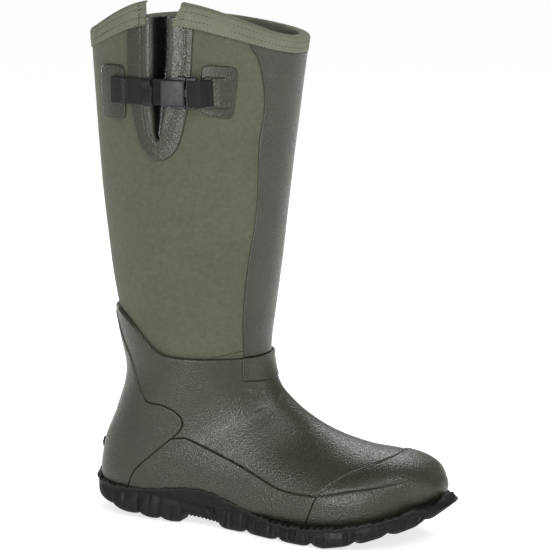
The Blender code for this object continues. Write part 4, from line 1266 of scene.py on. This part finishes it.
def sole_profile(k, rows, under, middle, edge, normal, sign, half):
    """One side of the sole's cross-section, from under the middle round to the top of its floor."""
    x, top = rows[k, 0], rows[k, 3]
    reach = abs(edge[k] - middle[k])
    arch = 1 - float(window(x, [(-20, 87), (119.5, 320)], 4.0))
    bars = float(window(x, INNER_BARS, 1.6))
    heel = lobe(x, HEEL_LOBES)
    place_in = heel if x < 95 else lobe(x, FRONT_LOBES)
    notch = 3.0 * (1 - math.sqrt(max(0.0, 1 - place_in**2))) if x < 95 else 3.2 * place_in**5
    teeth = 1.5 * abs(((x / 3.3) % 1) * 2 - 1) * arch
    ends = smooth(x, -3, 14) * (1 - smooth(x, 268, 292))
    floor = under[k] + LUG * (0.4 + 0.6 * ends)
    points = []
    for share in np.linspace(0, 1, 20):
        inward = reach * (1 - share)
        side_lug = 1 - smooth(inward, 13, 14.6)
        middle_bar = bars * smooth(inward, reach - 12.6, reach - 11)
        slot = smooth(place_in, 0.9, 0.97)
        depth = max(side_lug * (1 - slot * smooth(inward, 1.0, 3.0)), middle_bar)
        z = under[k] + notch * side_lug * (1 - arch) + (floor - under[k]) * (1 - depth) * (1 - arch)
        z += (float(np.interp(x, (88, 119), (6.6, 3.2))) + teeth) * arch
        points.append((x, middle[k] + sign * (reach - inward) * (1 - 2.6 / max(reach, 6)), z))
    low = points[-1][2]
    spur = 1 - smooth(x, -1, 11)
    wedge = smooth(x, 276, 299)
    high = top + 0.35 * math.sin(x / 2.3) + 0.3 * math.sin(x / 0.9 + sign) - 7.5 * wedge
    tall = max(high - low, 1.2)
    bulge = (1 - place_in**4) * (1 - 0.7 * spur)
    for share in np.linspace(0, 1, 26):
        z = low + tall * share
        bottom = math.sqrt(max(0.0, 1 - (1 - min(share * tall / 5.5, 1)) ** 2))
        body = 1 - smooth(share, 0.45, 0.9)
        proud = -2.8 * (1 - bottom) * min(1, tall / 8) + 1.3 * bulge * body * bottom
        proud -= 3.2 * spur * (1 - share)
        for centre, wide, deep, first, last in FLUTES:
            if abs(x - centre) < wide + 1.2:
                cut = 1 - smooth(abs(x - centre), wide - 0.4, wide + 1.0)
                within = smooth(share, first - 0.01, first + 0.12)
                cut *= within * (1 - smooth(share, last - 0.1, last))
                proud -= deep * cut * bottom
        beaded = 0.45 + 0.4 * math.sin(x / 5.1 + 1.5 * math.sin(x / 17.0))
        bead = (0.3 + beaded) * math.exp(-((((high - z) - 1.6) / 1.0) ** 2)) * min(1, tall / 6)
        proud += bead - 0.9 * smooth(z, high - 0.8, high)
        covered = half(x, z, sign)
        y = edge[k] + normal[k][1] * proud
        if covered is not None and 20 < x < 270:
            clear = 1.6 - 0.9 * smooth(z, high - 0.8, high) + 0.5 * bead
            y = sign * max(sign * y, sign * covered + clear)
        points.append((x + normal[k][0] * proud, y, z))
    inner_edge = half(x, high, sign)
    at_top = middle[k] if inner_edge is None else inner_edge
    wall = np.array(points[-1])
    rise = min(5.5 * spur + 7.5 * wedge, 0.8 * abs(at_top - wall[1])) - 0.4
    for share in (0.15, 0.4, 0.7, 1.0):
        points.append((x, wall[1] + (at_top - wall[1]) * share, high + 0.15 + rise * share))
    previous = at_top
    bed = min(under[k] + 7.4, high - 1.0)
    for z in np.linspace(max(high - 1.5, bed), bed, 9):
        hit = half(x, z, sign)
        here = previous if hit is None else sign * min(sign * hit, sign * previous)
        previous = here
        points.append((x, here, z))
    points.append((x, middle[k], bed))
    return points


def make_kick_lug():
    """Nub on the back of the heel for prising the boot off."""
    patch = SkinPatch(rows_between(6.6, 7.6, 0.8), 110, (2.5, 3.8))

    def field(p):
        dy, dz = np.abs(p[:, 1]) - 9.5, np.abs(p[:, 2] - KICK_Z) - 1.2
        outside = np.hypot(np.maximum(dy, 0), np.maximum(dz, 0))
        return 3.4 - outside - np.minimum(np.maximum(dy, dz), 0)

    patch.cut(field, (0.0, 0.6, 1.4))

    def top(base, t):
        ribs = 0.35 * np.cos((base[:, 2] - KICK_Z) * 2 * math.pi / 3.2)
        return 4.2 + 2.9 * lip(field(base), 2.2) + ribs * smooth_step(field(base), 0.6, 2)

    place(patch.solid("kick_lug_rubber", top, 3.6, MATS["sole"]), "boot", "sole", "kick_lug")


# ---------------------------------------------------------------- hidden pieces, floor, light, camera


def dress_hidden():
    """Materials of the CAD nodes that are shown as they are."""
    kept = {"midsole": "foam", "shank": "steel", "lasting_board": "board", "footbed": "foam"}
    for name, key in kept.items():
        obj = bpy.data.objects[name]
        obj.data.materials.clear()
        obj.data.materials.append(MATS[key])


def make_stage():
    mesh = bpy.data.meshes.new("floor")
    mesh.from_pydata([(-60, -60, 0), (60, -60, 0), (60, 60, 0), (-60, 60, 0)], [], [(0, 1, 2, 3)])
    floor = add_object("floor", mesh)
    floor.location.z = -0.0004
    paint = Paint("lit_floor", 0.9, Emission_Strength=0.73, Emission_Color=(1, 1, 1, 1))
    paint.colour(paint.patchy(0.9, 0.92, 9, 2))
    mesh.materials.append(paint.mat)

    world = bpy.data.worlds.new("studio")
    bpy.context.scene.world = world
    world.use_nodes = True
    world.node_tree.nodes["Background"].inputs["Color"].default_value = (1, 1, 1, 1)
    world.node_tree.nodes["Background"].inputs["Strength"].default_value = 0.28

    for name, azimuth, elevation, far, size, power, only_shine in (
        ("key", 44, 42, 2.4, (1.2, 1.2), 17, False),
        ("back", 192, 37, 2.2, (1.1, 0.6), 20, False),
        ("strip", -3, 6, 2.0, (0.2, 0.7), 38, True),
        ("side", 85, 4, 2.0, (0.16, 0.9), 9, True),
        ("rim", -130, 5, 2.0, (0.2, 0.9), 6, True),
        ("upper", 52, 42, 2.0, (0.3, 0.3), 14, True),
    ):
        a, e = math.radians(azimuth), math.radians(elevation)
        where = Vector((math.sin(a) * math.cos(e), -math.cos(a) * math.cos(e), math.sin(e))) * far
        light = bpy.data.lights.new(name, "AREA")
        light.shape = "RECTANGLE"
        light.size, light.size_y = size
        light.energy = power
        obj = add_object(name, light)
        obj.location = where + Vector((0, 0, 0.2))
        obj.rotation_euler = (-where).to_track_quat("-Z", "Y").to_euler()
        obj.visible_diffuse = not only_shine


def make_camera():
    camera = bpy.data.cameras.new("camera")
    camera.sensor_width, camera.lens = 36, 139.1
    camera.clip_start, camera.clip_end = 0.01, 50
    obj = add_object("camera", camera)
    az, el, far = math.radians(25), math.radians(10), 1.65
    back = Vector((math.sin(az) * math.cos(el), -math.cos(az) * math.cos(el), math.sin(el)))
    obj.location = Vector((0.0035, 0.0037, 0.197)) + back * far
    obj.rotation_euler = (-back).to_track_quat("-Z", "Y").to_euler()
    bpy.context.scene.camera = obj


make_bootie()
make_foot_rubber()
make_shaft_rubber()
make_pleat()
make_binding()
make_buckle()
make_strap()
make_outsole()
make_kick_lug()
dress_hidden()
make_stage()
make_camera()
bpy.context.scene.view_settings.view_transform = "Standard"
